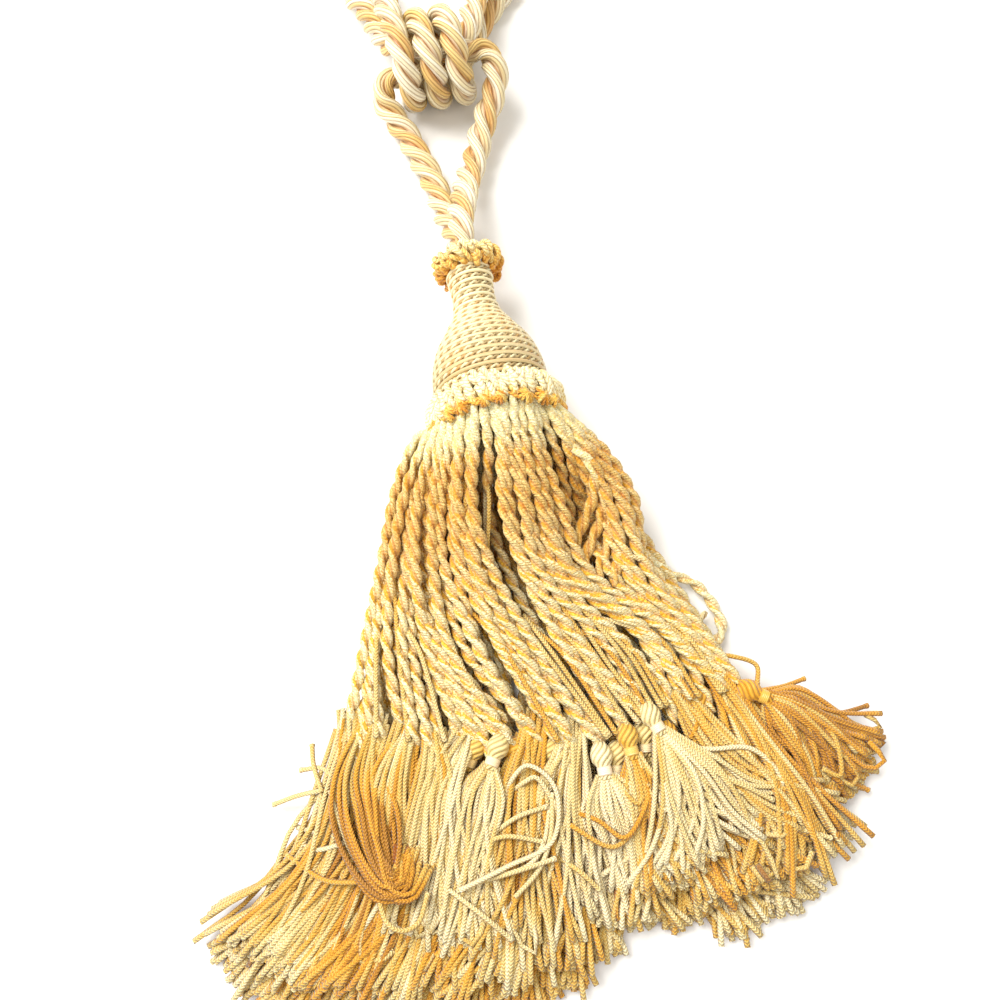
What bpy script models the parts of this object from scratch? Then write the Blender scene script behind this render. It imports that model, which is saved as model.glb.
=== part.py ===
"""A curtain tieback: one twisted rope, knotted and doubled into two arms, and its large tassel.

The tassel lies on its side on a table. The rope runs away from it along +Y, +X is to the right and
+Z is up. Lengths are in millimetres on the table's own grid, and each finished piece is brought to
metres, with the part's origin under the middle of the tassel, in finish_piece().
"""
import math
import random

import bmesh
import bpy
from mathutils import Vector

MM = 0.001
ORIGIN_ON_GRID = Vector((13.44, -37.06, 0.0))

# ---- rope -------------------------------------------------------------------------------------
ROPE_RADIUS = 4.75
ROPE_GROOVE = 0.78             # depth of the groove between two plies, as a share of the radius
ROPE_LAY = 26.0                # length of one full turn of the plies
STEPS_PER_LAY = 8
PLIES = 3
WRAP_RADIUS = 4.45             # the rope is pressed a little thinner in the knot

# Columns of every route table: x, y, height of the centreline, radius of the rope there
LEFT_LEG = (
    (-10.5, 73.1, 16.8, 3.1),
    (-12.0, 80.9, 16.2, 3.3),
    (-14.4, 88.9, 12.9, 4.4),
    (-17.9, 99.4, 8.4, 4.75),
    (-21.5, 110.6, 5.9, 4.75),
    (-27.2, 124.4, 4.8, 4.75),
    (-33.3, 136.4, 4.9, 4.75),
    (-39.6, 145.6, 6.8, 4.75),
    (-42.2, 150.8, 9.6, 4.6),
    (-40.6, 154.8, 12.4, 4.2),
    (-36.6, 156.2, 13.7, 4.0),
    (-30.6, 156.9, 14.2, 3.9),
    (-24.2, 160.7, 13.5, 3.9),
    (-19.3, 164.1, 14.2, 3.9),
)
RIGHT_ARM_INNER = (
    (-12.9, 172.0, 16.2, 4.6),
    (-10.6, 180.7, 16.1, 4.75),
    (-8.9, 191.0, 14.9, 4.75),
    (-7.6, 201.2, 12.7, 4.75),
    (-4.5, 213.4, 8.1, 4.75),
    (2.0, 225.0, 5.2, 4.75),
    (11.7, 245.4, 4.8, 4.75),
    (19.5, 268.0, 4.8, 4.75),
    (19.4, 296.3, 4.8, 4.75),
    (10.0, 321.5, 4.8, 4.75),
)
RIGHT_EYE = (
    (0.3, 330.7, 4.8, 4.75),
    (-10.6, 338.6, 4.8, 4.75),
    (-16.7, 348.8, 4.8, 4.75),
    (-14.2, 359.8, 4.8, 4.75),
    (-6.4, 364.6, 4.8, 4.75),
    (3.7, 362.8, 4.8, 4.75),
    (10.9, 353.4, 4.8, 4.75),
    (14.1, 340.4, 4.8, 4.75),
)
RIGHT_ARM_OUTER = (
    (18.7, 327.7, 4.8, 4.75),
    (30.1, 298.4, 4.8, 4.75),
    (30.5, 268.6, 4.8, 4.75),
    (21.9, 241.6, 4.8, 4.75),
    (13.0, 224.1, 4.8, 4.75),
    (4.7, 209.9, 4.8, 4.75),
    (-2.2, 198.0, 4.8, 4.75),
    (-7.2, 187.4, 4.8, 4.75),
    (-11.0, 177.6, 5.0, 4.6),
)
LEFT_ARM_INNER = (
    (-39.3, 170.4, 29.0, 4.6),
    (-41.1, 179.8, 25.5, 4.75),
    (-43.8, 190.1, 19.9, 4.75),
    (-46.5, 200.2, 14.0, 4.75),
    (-50.0, 210.5, 9.0, 4.75),
    (-55.7, 223.9, 5.6, 4.75),
    (-64.6, 246.1, 4.9, 4.75),
    (-69.5, 268.0, 4.8, 4.75),
    (-68.1, 296.4, 4.8, 4.75),
    (-59.0, 321.7, 4.8, 4.75),
)
LEFT_EYE = (
    (-49.6, 330.8, 4.8, 4.75),
    (-38.7, 338.8, 4.8, 4.75),
    (-32.8, 349.0, 4.8, 4.75),
    (-35.1, 359.3, 4.8, 4.75),
    (-43.4, 364.7, 4.8, 4.75),
    (-53.4, 362.7, 4.8, 4.75),
    (-60.5, 353.2, 4.8, 4.75),
    (-64.0, 340.1, 4.8, 4.75),
)
LEFT_ARM_OUTER = (
    (-68.5, 327.6, 4.8, 4.75),
    (-79.0, 297.8, 4.8, 4.75),
    (-80.3, 267.9, 4.8, 4.75),
    (-75.6, 242.9, 4.9, 4.75),
    (-67.1, 220.5, 4.9, 4.75),
    (-59.9, 207.3, 6.6, 4.75),
    (-54.0, 195.5, 9.4, 4.75),
    (-47.7, 183.9, 12.2, 4.75),
    (-43.6, 174.6, 14.6, 4.6),
    (-40.2, 166.7, 17.2, 4.2),
    (-31.9, 161.7, 20.8, 3.9),
    (-24.7, 160.2, 21.8, 3.9),
    (-17.3, 159.7, 20.9, 3.9),
)
RIGHT_LEG = (
    (-7.3, 162.3, 19.8, 4.3),
    (-2.6, 159.3, 18.4, 4.6),
    (-1.8, 151.6, 14.7, 4.75),
    (-3.8, 144.8, 11.7, 4.75),
    (-7.2, 133.9, 8.1, 4.75),
    (-9.9, 122.3, 7.6, 4.75),
    (-11.8, 111.0, 11.2, 4.75),
    (-12.7, 100.7, 17.3, 4.75),
    (-12.7, 88.4, 22.8, 4.35),
    (-11.8, 81.0, 23.5, 3.35),
    (-10.5, 73.1, 23.3, 3.1),
)
KNOT_CENTRE = Vector((-24.8, 160.5, 17.6))
KNOT_TURN = math.radians(12)   # of the knot's axis away from +X
KNOT_COIL = 13.1               # from the knot's axis to the centreline of its wraps
KNOT_PITCH = 9.1
KNOT_FIRST_DEG = 1020          # the wraps start low at the right end and come off on top at the left
KNOT_LAST_DEG = 75
KNOT_STEP_DEG = 27

# ---- head of the tassel -------------------------------------------------------------------------
NECK = Vector((-10.8, 74.6, 20.0))           # middle of the neck's ruff
COLLAR = Vector((-1.3, 21.4, 22.0))          # middle of the collar
AXIS = (COLLAR - NECK).normalized()
SIDE = Vector((-AXIS.y, AXIS.x, 0.0)).normalized()
TOP = AXIS.cross(SIDE)
HEAD_STEPS = 28

# Columns: distance along the axis from the neck's ruff, radius
HEAD_PROFILE = (
    (2.0, 7.4),
    (5.0, 7.8),
    (9.5, 7.3),
    (13.1, 7.1),
    (19.4, 8.1),
    (25.6, 11.5),
    (32.1, 15.4),
    (38.1, 17.4),
    (44.6, 18.1),
    (49.8, 17.2),
)

# ---- ruffs: rings of looped gimp -------------------------------------------------------------------
# Columns: name, station on the axis, ring radius, half width along the axis, half thickness, lobes, relief
RUFFS = (
    ("neck_ruff", 0.4, 10.1, 3.4, 2.2, 13, 0.36),
    ("collar_ruff", 53.4, 19.35, 4.4, 2.35, 22, 0.3),
    ("stitch_row", 59.2, 20.1, 1.1, 1.15, 22, 0.4),
)
RUFF_SECTION = 8

# ---- skirt ------------------------------------------------------------------------------------------
BACKING_START = 50.1
BACKING_END = 57.5
BACKING_RADIUS = 16.5
CELLS = 28                     # cords round the outer ring
OUTER_RING_DEPTH = 3.0
SPACER_DEPTH = 3.2
INNER_RING_DEPTH = 3.0
ROOT_MARGIN = 0.3
CORD_WIDTH = 4.3
CORD_HEIGHT = 4.0
TAIL_WIDTH = 4.0
TAIL_HEIGHT = 1.7
STRAND_GAP = 0.5               # between one strand and the next
TAIL_LIFT = 2.1                # from the lower tails of a cord to its upper ones

LEAVE_REACH = 12.0             # how far a cord heads out of the collar before it bends
SWELL_WIDE = 1.2               # and how far it swells sideways and upwards there
SWELL_HIGH = 0.22
ARRIVE_REACH = 54.0

# Rows of cords, each a layer of the pile
#   base: height of the layer's underside; lift: how much higher its cords come in to their knots;
#   spread: share of the fan it covers; short: how far its knots stay back from the fan's own knot
#   line; tip_short: the same for the tails' tips
ROWS = (
    {"name": "under", "base": 0.0, "lift": 0.0, "spread": 1.00, "short": 0.0, "tip_short": 0.0},
    {"name": "middle", "base": 4.7, "lift": 2.5, "spread": 0.93, "short": 7.0, "tip_short": 8.0},
    {"name": "top", "base": 9.4, "lift": 6.0, "spread": 0.86, "short": 12.0, "tip_short": 19.0},
)
# The fan, in even steps from its left edge to its right: where the knots and the tails' tips lie
FAN = (
    {"knot_x": -46.0, "knot_y": -80.0, "tip_x": -84.0, "tip_y": -127.0},
    {"knot_x": -35.0, "knot_y": -88.0, "tip_x": -71.0, "tip_y": -142.0},
    {"knot_x": -21.0, "knot_y": -93.0, "tip_x": -48.0, "tip_y": -148.0},
    {"knot_x": -5.0, "knot_y": -95.0, "tip_x": -18.0, "tip_y": -150.0},
    {"knot_x": 13.0, "knot_y": -94.0, "tip_x": 14.0, "tip_y": -144.0},
    {"knot_x": 33.0, "knot_y": -89.0, "tip_x": 44.0, "tip_y": -131.0},
    {"knot_x": 54.0, "knot_y": -78.0, "tip_x": 80.0, "tip_y": -124.0},
    {"knot_x": 73.0, "knot_y": -60.0, "tip_x": 110.0, "tip_y": -78.0},
)
ROOT_ALONG = 0.10              # up to here a cord keeps the shape of its own root
# Along a cord: share of its length, width and height of its section as shares of the full size
CORD_SECTIONS = (
    {"along": 0.32, "width": 0.6, "height": 0.7},
    {"along": 0.62, "width": 0.8, "height": 0.9},
    {"along": 0.83, "width": 1.0, "height": 1.0},
    {"along": 1.00, "width": 1.0, "height": 1.0},
)
# Past the cord's end: its ball knot, the thread that binds it, and the head of the tails
KNOT_SECTIONS = (
    {"past": 2.0, "width": 5.6, "height": 4.0},
    {"past": 5.2, "width": 5.4, "height": 4.0},
    {"past": 7.4, "width": 3.2, "height": 3.4},
    {"past": 10.4, "width": 4.4, "height": 3.8},
)
LENGTH_SCATTER = 3.5           # the tails are not cut quite level


def clear_scene():
    for old in list(bpy.data.objects):
        bpy.data.objects.remove(old, do_unlink=True)


def make_material(name, colour, roughness):
    material = bpy.data.materials.new(name)
    material.use_nodes = True
    shader = material.node_tree.nodes["Principled BSDF"]
    shader.inputs["Base Color"].default_value = (*colour, 1.0)
    shader.inputs["Roughness"].default_value = roughness
    shader.inputs["Metallic"].default_value = 0.0
    return material


def finish_piece(bm, name, material):
    """Closes the piece's normals, brings it from the table's grid to metres, and makes its object."""
    bmesh.ops.remove_doubles(bm, verts=bm.verts, dist=0.001)
    bmesh.ops.recalc_face_normals(bm, faces=bm.faces)
    for vert in bm.verts:
        vert.co = (vert.co - ORIGIN_ON_GRID) * MM
    mesh = bpy.data.meshes.new(name)
    bm.to_mesh(mesh)
    bm.free()
    mesh.materials.append(material)
    mesh.shade_smooth()
    mesh.set_sharp_from_angle(angle=math.radians(50))
    piece = bpy.data.objects.new(name, mesh)
    bpy.context.collection.objects.link(piece)
    return piece


def loft(bm, face, sections):
    """Carries a face through each section in turn and leaves walls behind it."""
    for section in sections:
        left_behind = face
        alone = all(len(edge.link_faces) == 1 for edge in face.edges)
        grown = bmesh.ops.extrude_face_region(bm, geom=[face])
        face = next(item for item in grown["geom"] if isinstance(item, bmesh.types.BMFace))
        for vert, point in zip(face.verts, section):
            vert.co = point
        if not alone:
            bmesh.ops.delete(bm, geom=[left_behind], context="FACES_ONLY")
    return face


# ---- curves -----------------------------------------------------------------------------------------

def spline_point(before, start, end, after, share):
    """A point of the centripetal Catmull-Rom curve that runs from start to end."""
    knots = [0.0]
    for first, second in ((before, start), (start, end), (end, after)):
        knots.append(knots[-1] + max((second.xyz - first.xyz).length, 1e-6) ** 0.5)
    at = knots[1] + (knots[2] - knots[1]) * share
    points = [before, start, end, after]
    for width in (1, 2, 3):
        blended = []
        for index in range(4 - width):
            low, high = knots[index], knots[index + width]
            if width == 3:
                low, high = knots[1], knots[2]
            if width == 2 and index == 0:
                low, high = knots[0], knots[2]
            part = (at - low) / (high - low)
            blended.append(points[index].lerp(points[index + 1], part))
        points = blended
    return points[0]


def smooth_route(table, fine=10):
    """Every point of a smooth curve through the table's rows, with the radius as a fourth value."""
    rows = [Vector(row) for row in table]
    rows = [2 * rows[0] - rows[1]] + rows + [2 * rows[-1] - rows[-2]]
    curve = []
    for index in range(1, len(rows) - 2):
        for part in range(fine):
            curve.append(spline_point(*rows[index - 1:index + 3], part / fine))
    curve.append(rows[-2])
    return curve


def even_steps(curve, step):
    """The same curve with its points at even distances, about one step apart."""
    distances = [0.0]
    for first, second in zip(curve, curve[1:]):
        distances.append(distances[-1] + (second.xyz - first.xyz).length)
    count = round(distances[-1] / step)
    points = []
    index = 0
    for number in range(count + 1):
        wanted = distances[-1] * number / count
        while index < len(curve) - 2 and distances[index + 1] < wanted:
            index += 1
        part = (wanted - distances[index]) / (distances[index + 1] - distances[index])
        points.append(curve[index].lerp(curve[index + 1], part))
    return points


def knot_wraps():
    """The rope's turns round the knot, from low at the right end to the top of the left end."""
    along = Vector((math.cos(KNOT_TURN), math.sin(KNOT_TURN), 0.0))
    away = Vector((-math.sin(KNOT_TURN), math.cos(KNOT_TURN), 0.0))
    up = Vector((0.0, 0.0, 1.0))
    turns = []
    for degrees in range(KNOT_FIRST_DEG, KNOT_LAST_DEG - 1, -KNOT_STEP_DEG):
        angle = math.radians(degrees)
        station = KNOT_PITCH * ((degrees - 180) / 360 - 1)
        point = KNOT_CENTRE + along * station + (away * math.cos(angle) + up * math.sin(angle)) * KNOT_COIL
        turns.append((*point, WRAP_RADIUS))
    return tuple(turns)


def make_rope(material):
    """One rope of three plies, whose twist is raised as a star section turned along the route."""
    table = (LEFT_LEG + RIGHT_ARM_INNER + RIGHT_EYE + RIGHT_ARM_OUTER + knot_wraps()
             + LEFT_ARM_INNER + LEFT_EYE + LEFT_ARM_OUTER + RIGHT_LEG)
    route = even_steps(smooth_route(table), ROPE_LAY / STEPS_PER_LAY)
    corners = 2 * PLIES
    sections = []
    across = Vector((1.0, 0.0, 0.0))
    for number, point in enumerate(route):
        ahead = route[min(number + 1, len(route) - 1)].xyz
        behind = route[max(number - 1, 0)].xyz
        tangent = (ahead - behind).normalized()
        across = (across - tangent * across.dot(tangent)).normalized()
        other = tangent.cross(across)
        turn = -2 * math.pi * number / STEPS_PER_LAY
        section = []
        for corner in range(corners):
            angle = turn + 2 * math.pi * corner / corners
            reach = point.w * (1.0 if corner % 2 == 0 else ROPE_GROOVE)
            section.append(point.xyz + (across * math.cos(angle) + other * math.sin(angle)) * reach)
        sections.append(section)
    bm = bmesh.new()
    ring = bmesh.ops.create_circle(bm, segments=corners, radius=ROPE_RADIUS, cap_ends=True)
    for vert, point in zip(ring["verts"], sections[0]):
        vert.co = point
    loft(bm, bm.faces[:][0], sections[1:])
    return finish_piece(bm, "rope", material)


# ---- head, ruffs ------------------------------------------------------------------------------------

def on_axis(station, radius=0.0, angle=0.0):
    """A point at a station on the tassel's axis, or at a radius and an angle round it."""
    return NECK + AXIS * station + (SIDE * math.cos(angle) + TOP * math.sin(angle)) * radius


def spin_profile(bm, points, steps, closed):
    verts = [bm.verts.new(point) for point in points]
    edges = [bm.edges.new(pair) for pair in zip(verts, verts[1:])]
    if closed:
        edges.append(bm.edges.new((verts[-1], verts[0])))
    bmesh.ops.spin(bm, geom=verts + edges, cent=NECK, axis=AXIS, angle=2 * math.pi, steps=steps,
                   use_merge=True, use_duplicate=False)


def make_head(material):
    """The turned mould under its winding, from the neck to the foot under the collar."""
    bm = bmesh.new()
    outline = [on_axis(HEAD_PROFILE[0][0])]
    outline += [on_axis(station, radius) for station, radius in HEAD_PROFILE]
    outline.append(on_axis(HEAD_PROFILE[-1][0]))
    spin_profile(bm, outline, HEAD_STEPS, closed=False)
    return finish_piece(bm, "head_winding", material)


def make_ruff(name, station, ring, half_width, half_thickness, lobes, relief, material):
    """A ring of loops: a turned ring whose section swells and shrinks with each loop."""
    bm = bmesh.new()
    section = []
    for corner in range(RUFF_SECTION):
        angle = 2 * math.pi * (corner + 0.5) / RUFF_SECTION
        section.append(on_axis(station + half_width * math.cos(angle), ring + half_thickness * math.sin(angle)))
    spin_profile(bm, section, 2 * lobes, closed=True)
    bmesh.ops.remove_doubles(bm, verts=bm.verts, dist=0.001)
    for vert in bm.verts:
        reach = vert.co - on_axis(station)
        angle = math.atan2(reach.dot(TOP), reach.dot(SIDE))
        middle = on_axis(station, ring, angle)
        vert.co = middle + (vert.co - middle) * (1 - relief * (1 - math.cos(lobes * angle)) / 2)
    return finish_piece(bm, name, material)


# ---- skirt --------------------------------------------------------------------------------------------

def fan_at(across):
    """The fan's columns at any place across it, on a smooth curve through the table's rows."""
    rows = [Vector((row["knot_x"], row["knot_y"], row["tip_x"], row["tip_y"])) for row in FAN]
    rows = [2 * rows[0] - rows[1]] + rows + [2 * rows[-1] - rows[-2]]
    place = min(max(across, 0.0), 1.0) * (len(FAN) - 1)
    index = min(int(place), len(FAN) - 2)
    part = place - index
    before, start, end, after = rows[index:index + 4]
    bend = (2 * start + (end - before) * part
            + (2 * before - 5 * start + 4 * end - after) * part ** 2
            + (3 * start - before - 3 * end + after) * part ** 3)
    return bend / 2


def flat_section(centre, heading, width, height):
    """Four corners of an upright section across a strand's heading."""
    side = Vector((-heading.y, heading.x, 0.0)).normalized() * (width / 2)
    up = Vector((0.0, 0.0, height / 2))
    return [centre - side - up, centre + side - up, centre + side + up, centre - side + up]


def in_order_of(face, section):
    """The section's corners in the order that joins them to the face's own without a twist."""
    best = None
    for corners in (section, section[::-1]):
        for turn in range(4):
            order = corners[turn:] + corners[:turn]
            length = sum((vert.co - point).length for vert, point in zip(face.verts, order))
            if best is None or length < best[0]:
                best = (length, order)
    return best[1]


def row_ends(row, across):
    """Where the knot and the tails' tips of one of the row's cords lie."""
    knot_x, knot_y, tip_x, tip_y = fan_at(across)
    height = row["base"] + CORD_HEIGHT / 2
    knot = Vector((knot_x, knot_y, height))
    tip = Vector((tip_x, tip_y, height))
    foot = on_axis(BACKING_END)
    knot += (Vector((foot.x, foot.y, height)) - knot).normalized() * row["short"]
    tip += (knot - tip).normalized() * row["tip_short"]
    return knot, tip


def room_beside(row, across, step, end, heading):
    """How far off the nearer neighbour's knot (end 0) or tips (end 1) lie, across a heading."""
    side = Vector((-heading.y, heading.x, 0.0)).normalized()
    own = row_ends(row, across)[end]
    apart = [abs((row_ends(row, beside)[end] - own).dot(side)) for beside in (across - step, across + step)
             if -step / 2 < beside < 1.0 + step / 2]
    return min(apart)


def cord_curve(root, row, knot):
    """Bezier points of one cord, from its root to its knot."""
    outward = root - on_axis(BACKING_END)
    swell = Vector((outward.x * SWELL_WIDE, outward.y * SWELL_WIDE, max(outward.z, 0.0) * SWELL_HIGH))
    leave = root + AXIS * LEAVE_REACH + swell
    leave.z = max(leave.z, knot.z + 0.4)
    if outward.z < 0.0:
        leave.z = max(knot.z + 0.4, root.z - 2.0)
    shoulder = Vector((leave.x, leave.y, knot.z))
    arrive = knot + (shoulder - knot).normalized() * ARRIVE_REACH
    arrive.z = knot.z + row["lift"]
    return root, leave, arrive, knot


def bezier(points, share):
    rest = 1.0 - share
    start, leave, arrive, end = points
    return (start * rest ** 3 + leave * (3 * rest * rest * share)
            + arrive * (3 * rest * share * share) + end * share ** 3)


def grow_cord(bm, face, row, across, step, scatter):
    """Draws one cord out of its root, with its knot, binding and four locks of tails."""
    root = face.calc_center_median()
    knot, tip = row_ends(row, across)
    curve = cord_curve(root, row, knot)
    cord_room = room_beside(row, across, step, 0, knot - curve[2]) - STRAND_GAP
    previous = bezier(curve, ROOT_ALONG)
    face = loft(bm, face, [[vert.co + previous - root for vert in face.verts]])
    for section in CORD_SECTIONS:
        centre = bezier(curve, section["along"])
        width = min(CORD_WIDTH, cord_room) * section["width"]
        corners = flat_section(centre, centre - previous, width, CORD_HEIGHT * section["height"])
        face = loft(bm, face, [in_order_of(face, corners)])
        previous = centre
    heading = (tip - knot).normalized()
    knot_room = min(room_beside(row, across, step, 0, heading) - STRAND_GAP, cord_room)
    tip_room = room_beside(row, across, step, 1, heading) - STRAND_GAP
    for section in KNOT_SECTIONS:
        centre = knot + heading * section["past"]
        corners = flat_section(centre, heading, min(section["width"], knot_room), section["height"])
        face = loft(bm, face, [in_order_of(face, corners)])
    grow_tails(bm, face, row, heading, tip, ((knot_room + tip_room) / 2, tip_room), scatter)


def grow_tails(bm, face, row, heading, tip, room, scatter):
    """Splits the end of a cord's binding in four, and draws each quarter out as a lock of tails."""
    middle = face.calc_center_median()
    side = Vector((-heading.y, heading.x, 0.0)).normalized()
    split = bmesh.ops.subdivide_edges(bm, edges=face.edges[:], cuts=1, use_grid_fill=True)
    centre_vert = next(item for item in split["geom_inner"] if isinstance(item, bmesh.types.BMVert)
                       and len(item.link_edges) == 4 and (item.co - middle).length < 0.05)
    quarters = centre_vert.link_faces[:]
    reach = (tip - middle).length
    for quarter in quarters:
        offset = quarter.calc_center_median() - middle
        hand = 1 if offset.dot(side) > 0 else -1
        level = row["base"] + TAIL_HEIGHT / 2 + (TAIL_LIFT if offset.z > 0 else 0.0)
        length = reach + scatter.uniform(-LENGTH_SCATTER, LENGTH_SCATTER)
        sections = []
        for share, clear in zip((0.5, 1.0), room):
            width = min(TAIL_WIDTH, (clear - STRAND_GAP) / 2)
            centre = middle + heading * (length * share)
            centre += side * (hand * (width + STRAND_GAP) / 2)
            centre.z = level
            sections.append(flat_section(centre, heading, width, TAIL_HEIGHT))
        first = in_order_of(quarter, sections[0])
        places = [sections[0].index(point) for point in first]
        loft(bm, quarter, [first, [sections[1][place] for place in places]])


def ring_angle(face):
    reach = face.calc_center_median() - on_axis(BACKING_END)
    return math.atan2(reach.dot(TOP), reach.dot(SIDE)) % (2 * math.pi)


def make_skirt(material):
    """The backing inside the collar, with every cord of the skirt drawn out of its front face."""
    bm = bmesh.new()
    disc = bmesh.ops.create_circle(bm, segments=CELLS, radius=BACKING_RADIUS, cap_ends=True)
    for index, vert in enumerate(disc["verts"]):
        vert.co = on_axis(BACKING_START, BACKING_RADIUS, 2 * math.pi * index / CELLS)
    front = bm.faces[:][0]
    wall = [on_axis(BACKING_END, BACKING_RADIUS, 2 * math.pi * index / CELLS) for index in range(CELLS)]
    front = loft(bm, front, [wall])
    rings = []
    for depth in (OUTER_RING_DEPTH, SPACER_DEPTH, INNER_RING_DEPTH):
        inset = bmesh.ops.inset_region(bm, faces=[front], thickness=depth, use_even_offset=True)
        rings.append(sorted(inset["faces"], key=ring_angle))
    outer = rings[0]
    inner = rings[2][::2]
    roots = outer + inner
    bmesh.ops.inset_individual(bm, faces=roots, thickness=ROOT_MARGIN, use_even_offset=True)

    cells_of = {
        "under": [cell for cell in outer if ring_angle(cell) >= math.pi],
        "middle": inner,
        "top": [cell for cell in outer if ring_angle(cell) < math.pi],
    }
    scatter = random.Random(11)
    for row in ROWS:
        cells = sorted(cells_of[row["name"]], key=lambda cell: (cell.calc_center_median() - NECK).dot(SIDE))
        step = row["spread"] / (len(cells) - 1)
        for number, cell in enumerate(cells):
            across = 0.5 + (number - (len(cells) - 1) / 2) * step
            grow_cord(bm, cell, row, across, step, scatter)
    return finish_piece(bm, "skirt_fringe", material)


def build():
    clear_scene()
    cream = make_material("cream_and_gold_rope", (0.87, 0.74, 0.50), 0.38)
    winding = make_material("wound_thread", (0.86, 0.78, 0.56), 0.42)
    gold = make_material("gold_gimp", (0.82, 0.55, 0.20), 0.5)
    looped = make_material("cream_gimp", (0.88, 0.80, 0.58), 0.55)
    stitching = make_material("gold_stitching", (0.80, 0.48, 0.13), 0.5)
    fringe = make_material("bullion_cords", (0.85, 0.68, 0.38), 0.5)
    ruff_materials = {"neck_ruff": gold, "collar_ruff": looped, "stitch_row": stitching}
    make_rope(cream)
    make_head(winding)
    for ruff in RUFFS:
        make_ruff(*ruff, material=ruff_materials[ruff[0]])
    make_skirt(fringe)


build()
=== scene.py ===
import math
import random
from collections import namedtuple

import bmesh
import bpy
import numpy as np
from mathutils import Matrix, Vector


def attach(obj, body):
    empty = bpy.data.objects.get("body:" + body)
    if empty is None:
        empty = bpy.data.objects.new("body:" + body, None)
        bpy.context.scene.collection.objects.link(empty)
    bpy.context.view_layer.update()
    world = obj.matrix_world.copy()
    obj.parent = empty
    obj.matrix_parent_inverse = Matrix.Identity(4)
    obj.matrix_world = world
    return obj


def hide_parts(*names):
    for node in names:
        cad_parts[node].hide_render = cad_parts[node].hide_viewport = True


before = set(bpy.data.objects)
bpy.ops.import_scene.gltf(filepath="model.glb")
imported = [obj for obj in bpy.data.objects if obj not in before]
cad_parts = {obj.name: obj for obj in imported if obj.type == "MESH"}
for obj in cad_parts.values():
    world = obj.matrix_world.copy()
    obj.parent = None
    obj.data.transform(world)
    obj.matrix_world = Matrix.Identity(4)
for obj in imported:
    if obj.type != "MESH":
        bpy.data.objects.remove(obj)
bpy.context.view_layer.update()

# Lengths are in millimetres on the table's own grid. A finished piece is brought to metres, with the
# part's origin under the middle of the tassel, in to_metres().
MM = 0.001
ORIGIN_ON_GRID = np.array((13.44, -37.06, 0.0))
UP = np.array((0.0, 0.0, 1.0))
FLAT = np.array((1.0, 1.0, 0.0))
TABLE_GAP = 0.02               # between the table and what lies on it


def to_metres(points):
    return (np.asarray(points, float) - ORIGIN_ON_GRID) * MM


def unit(vectors):
    return vectors / np.maximum(np.linalg.norm(vectors, axis=-1, keepdims=True), 1e-9)


def to_left(heading):
    """The level vector at a right angle to a heading, on its left."""
    return np.array((-heading[1], heading[0], 0.0))


def put(name, data):
    """A new object in the scene that shows a mesh, a lamp or a camera."""
    thing = bpy.data.objects.new(name, data)
    bpy.context.collection.objects.link(thing)
    return thing


def put_solid(name, bm, material):
    mesh = bpy.data.meshes.new(name)
    bm.to_mesh(mesh)
    bm.free()
    mesh.materials.append(material)
    return put(name, mesh)


# ---- camera and lamps ----

CAMERA_ON_GRID = (0.0, -97.3, 299.6)
CAMERA_TILT = math.radians(18)
CAMERA_LENS = 35.0
CAMERA_SENSOR = 36.0
# Soft lamps over the table, in metres: name, place, watts, colour
LAMPS = (
    ("window", (-0.62, 0.38, 0.95), 22.0, (1.0, 0.99, 0.96)),
    ("lamp", (0.5, -0.7, 1.2), 4.0, (1.0, 0.96, 0.9)),
)
LAMP_AIM = Vector((0.0, -0.05, 0.0))
LAMP_SIZE = 0.8
SURROUND_COLOUR = (1.0, 0.97, 0.9, 1.0)
SURROUND_STRENGTH = 0.74


def place_camera():
    camera = bpy.data.cameras.new("view")
    camera.lens = CAMERA_LENS
    camera.sensor_width = CAMERA_SENSOR
    camera.clip_start = 0.01
    viewer = put("view", camera)
    viewer.location = to_metres(CAMERA_ON_GRID)
    viewer.rotation_euler = (CAMERA_TILT, 0.0, 0.0)
    bpy.context.scene.camera = viewer


def light_studio():
    world = bpy.data.worlds.new("studio")
    world.use_nodes = True
    surround = world.node_tree.nodes["Background"]
    surround.inputs["Color"].default_value = SURROUND_COLOUR
    surround.inputs["Strength"].default_value = SURROUND_STRENGTH
    bpy.context.scene.world = world
    bpy.context.scene.view_settings.view_transform = "Standard"
    for name, place, power, colour in LAMPS:
        lamp = bpy.data.lights.new(name, "AREA")
        lamp.shape = "SQUARE"
        lamp.size = LAMP_SIZE
        lamp.energy = power
        lamp.color = colour
        holder = put(name, lamp)
        holder.location = place
        holder.rotation_euler = (LAMP_AIM - holder.location).to_track_quat("-Z", "Y").to_euler()


# ---- shader nodes ----

SHEEN_SPREAD = 0.4
DISPLAY_GAMMA = 2.2


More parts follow.
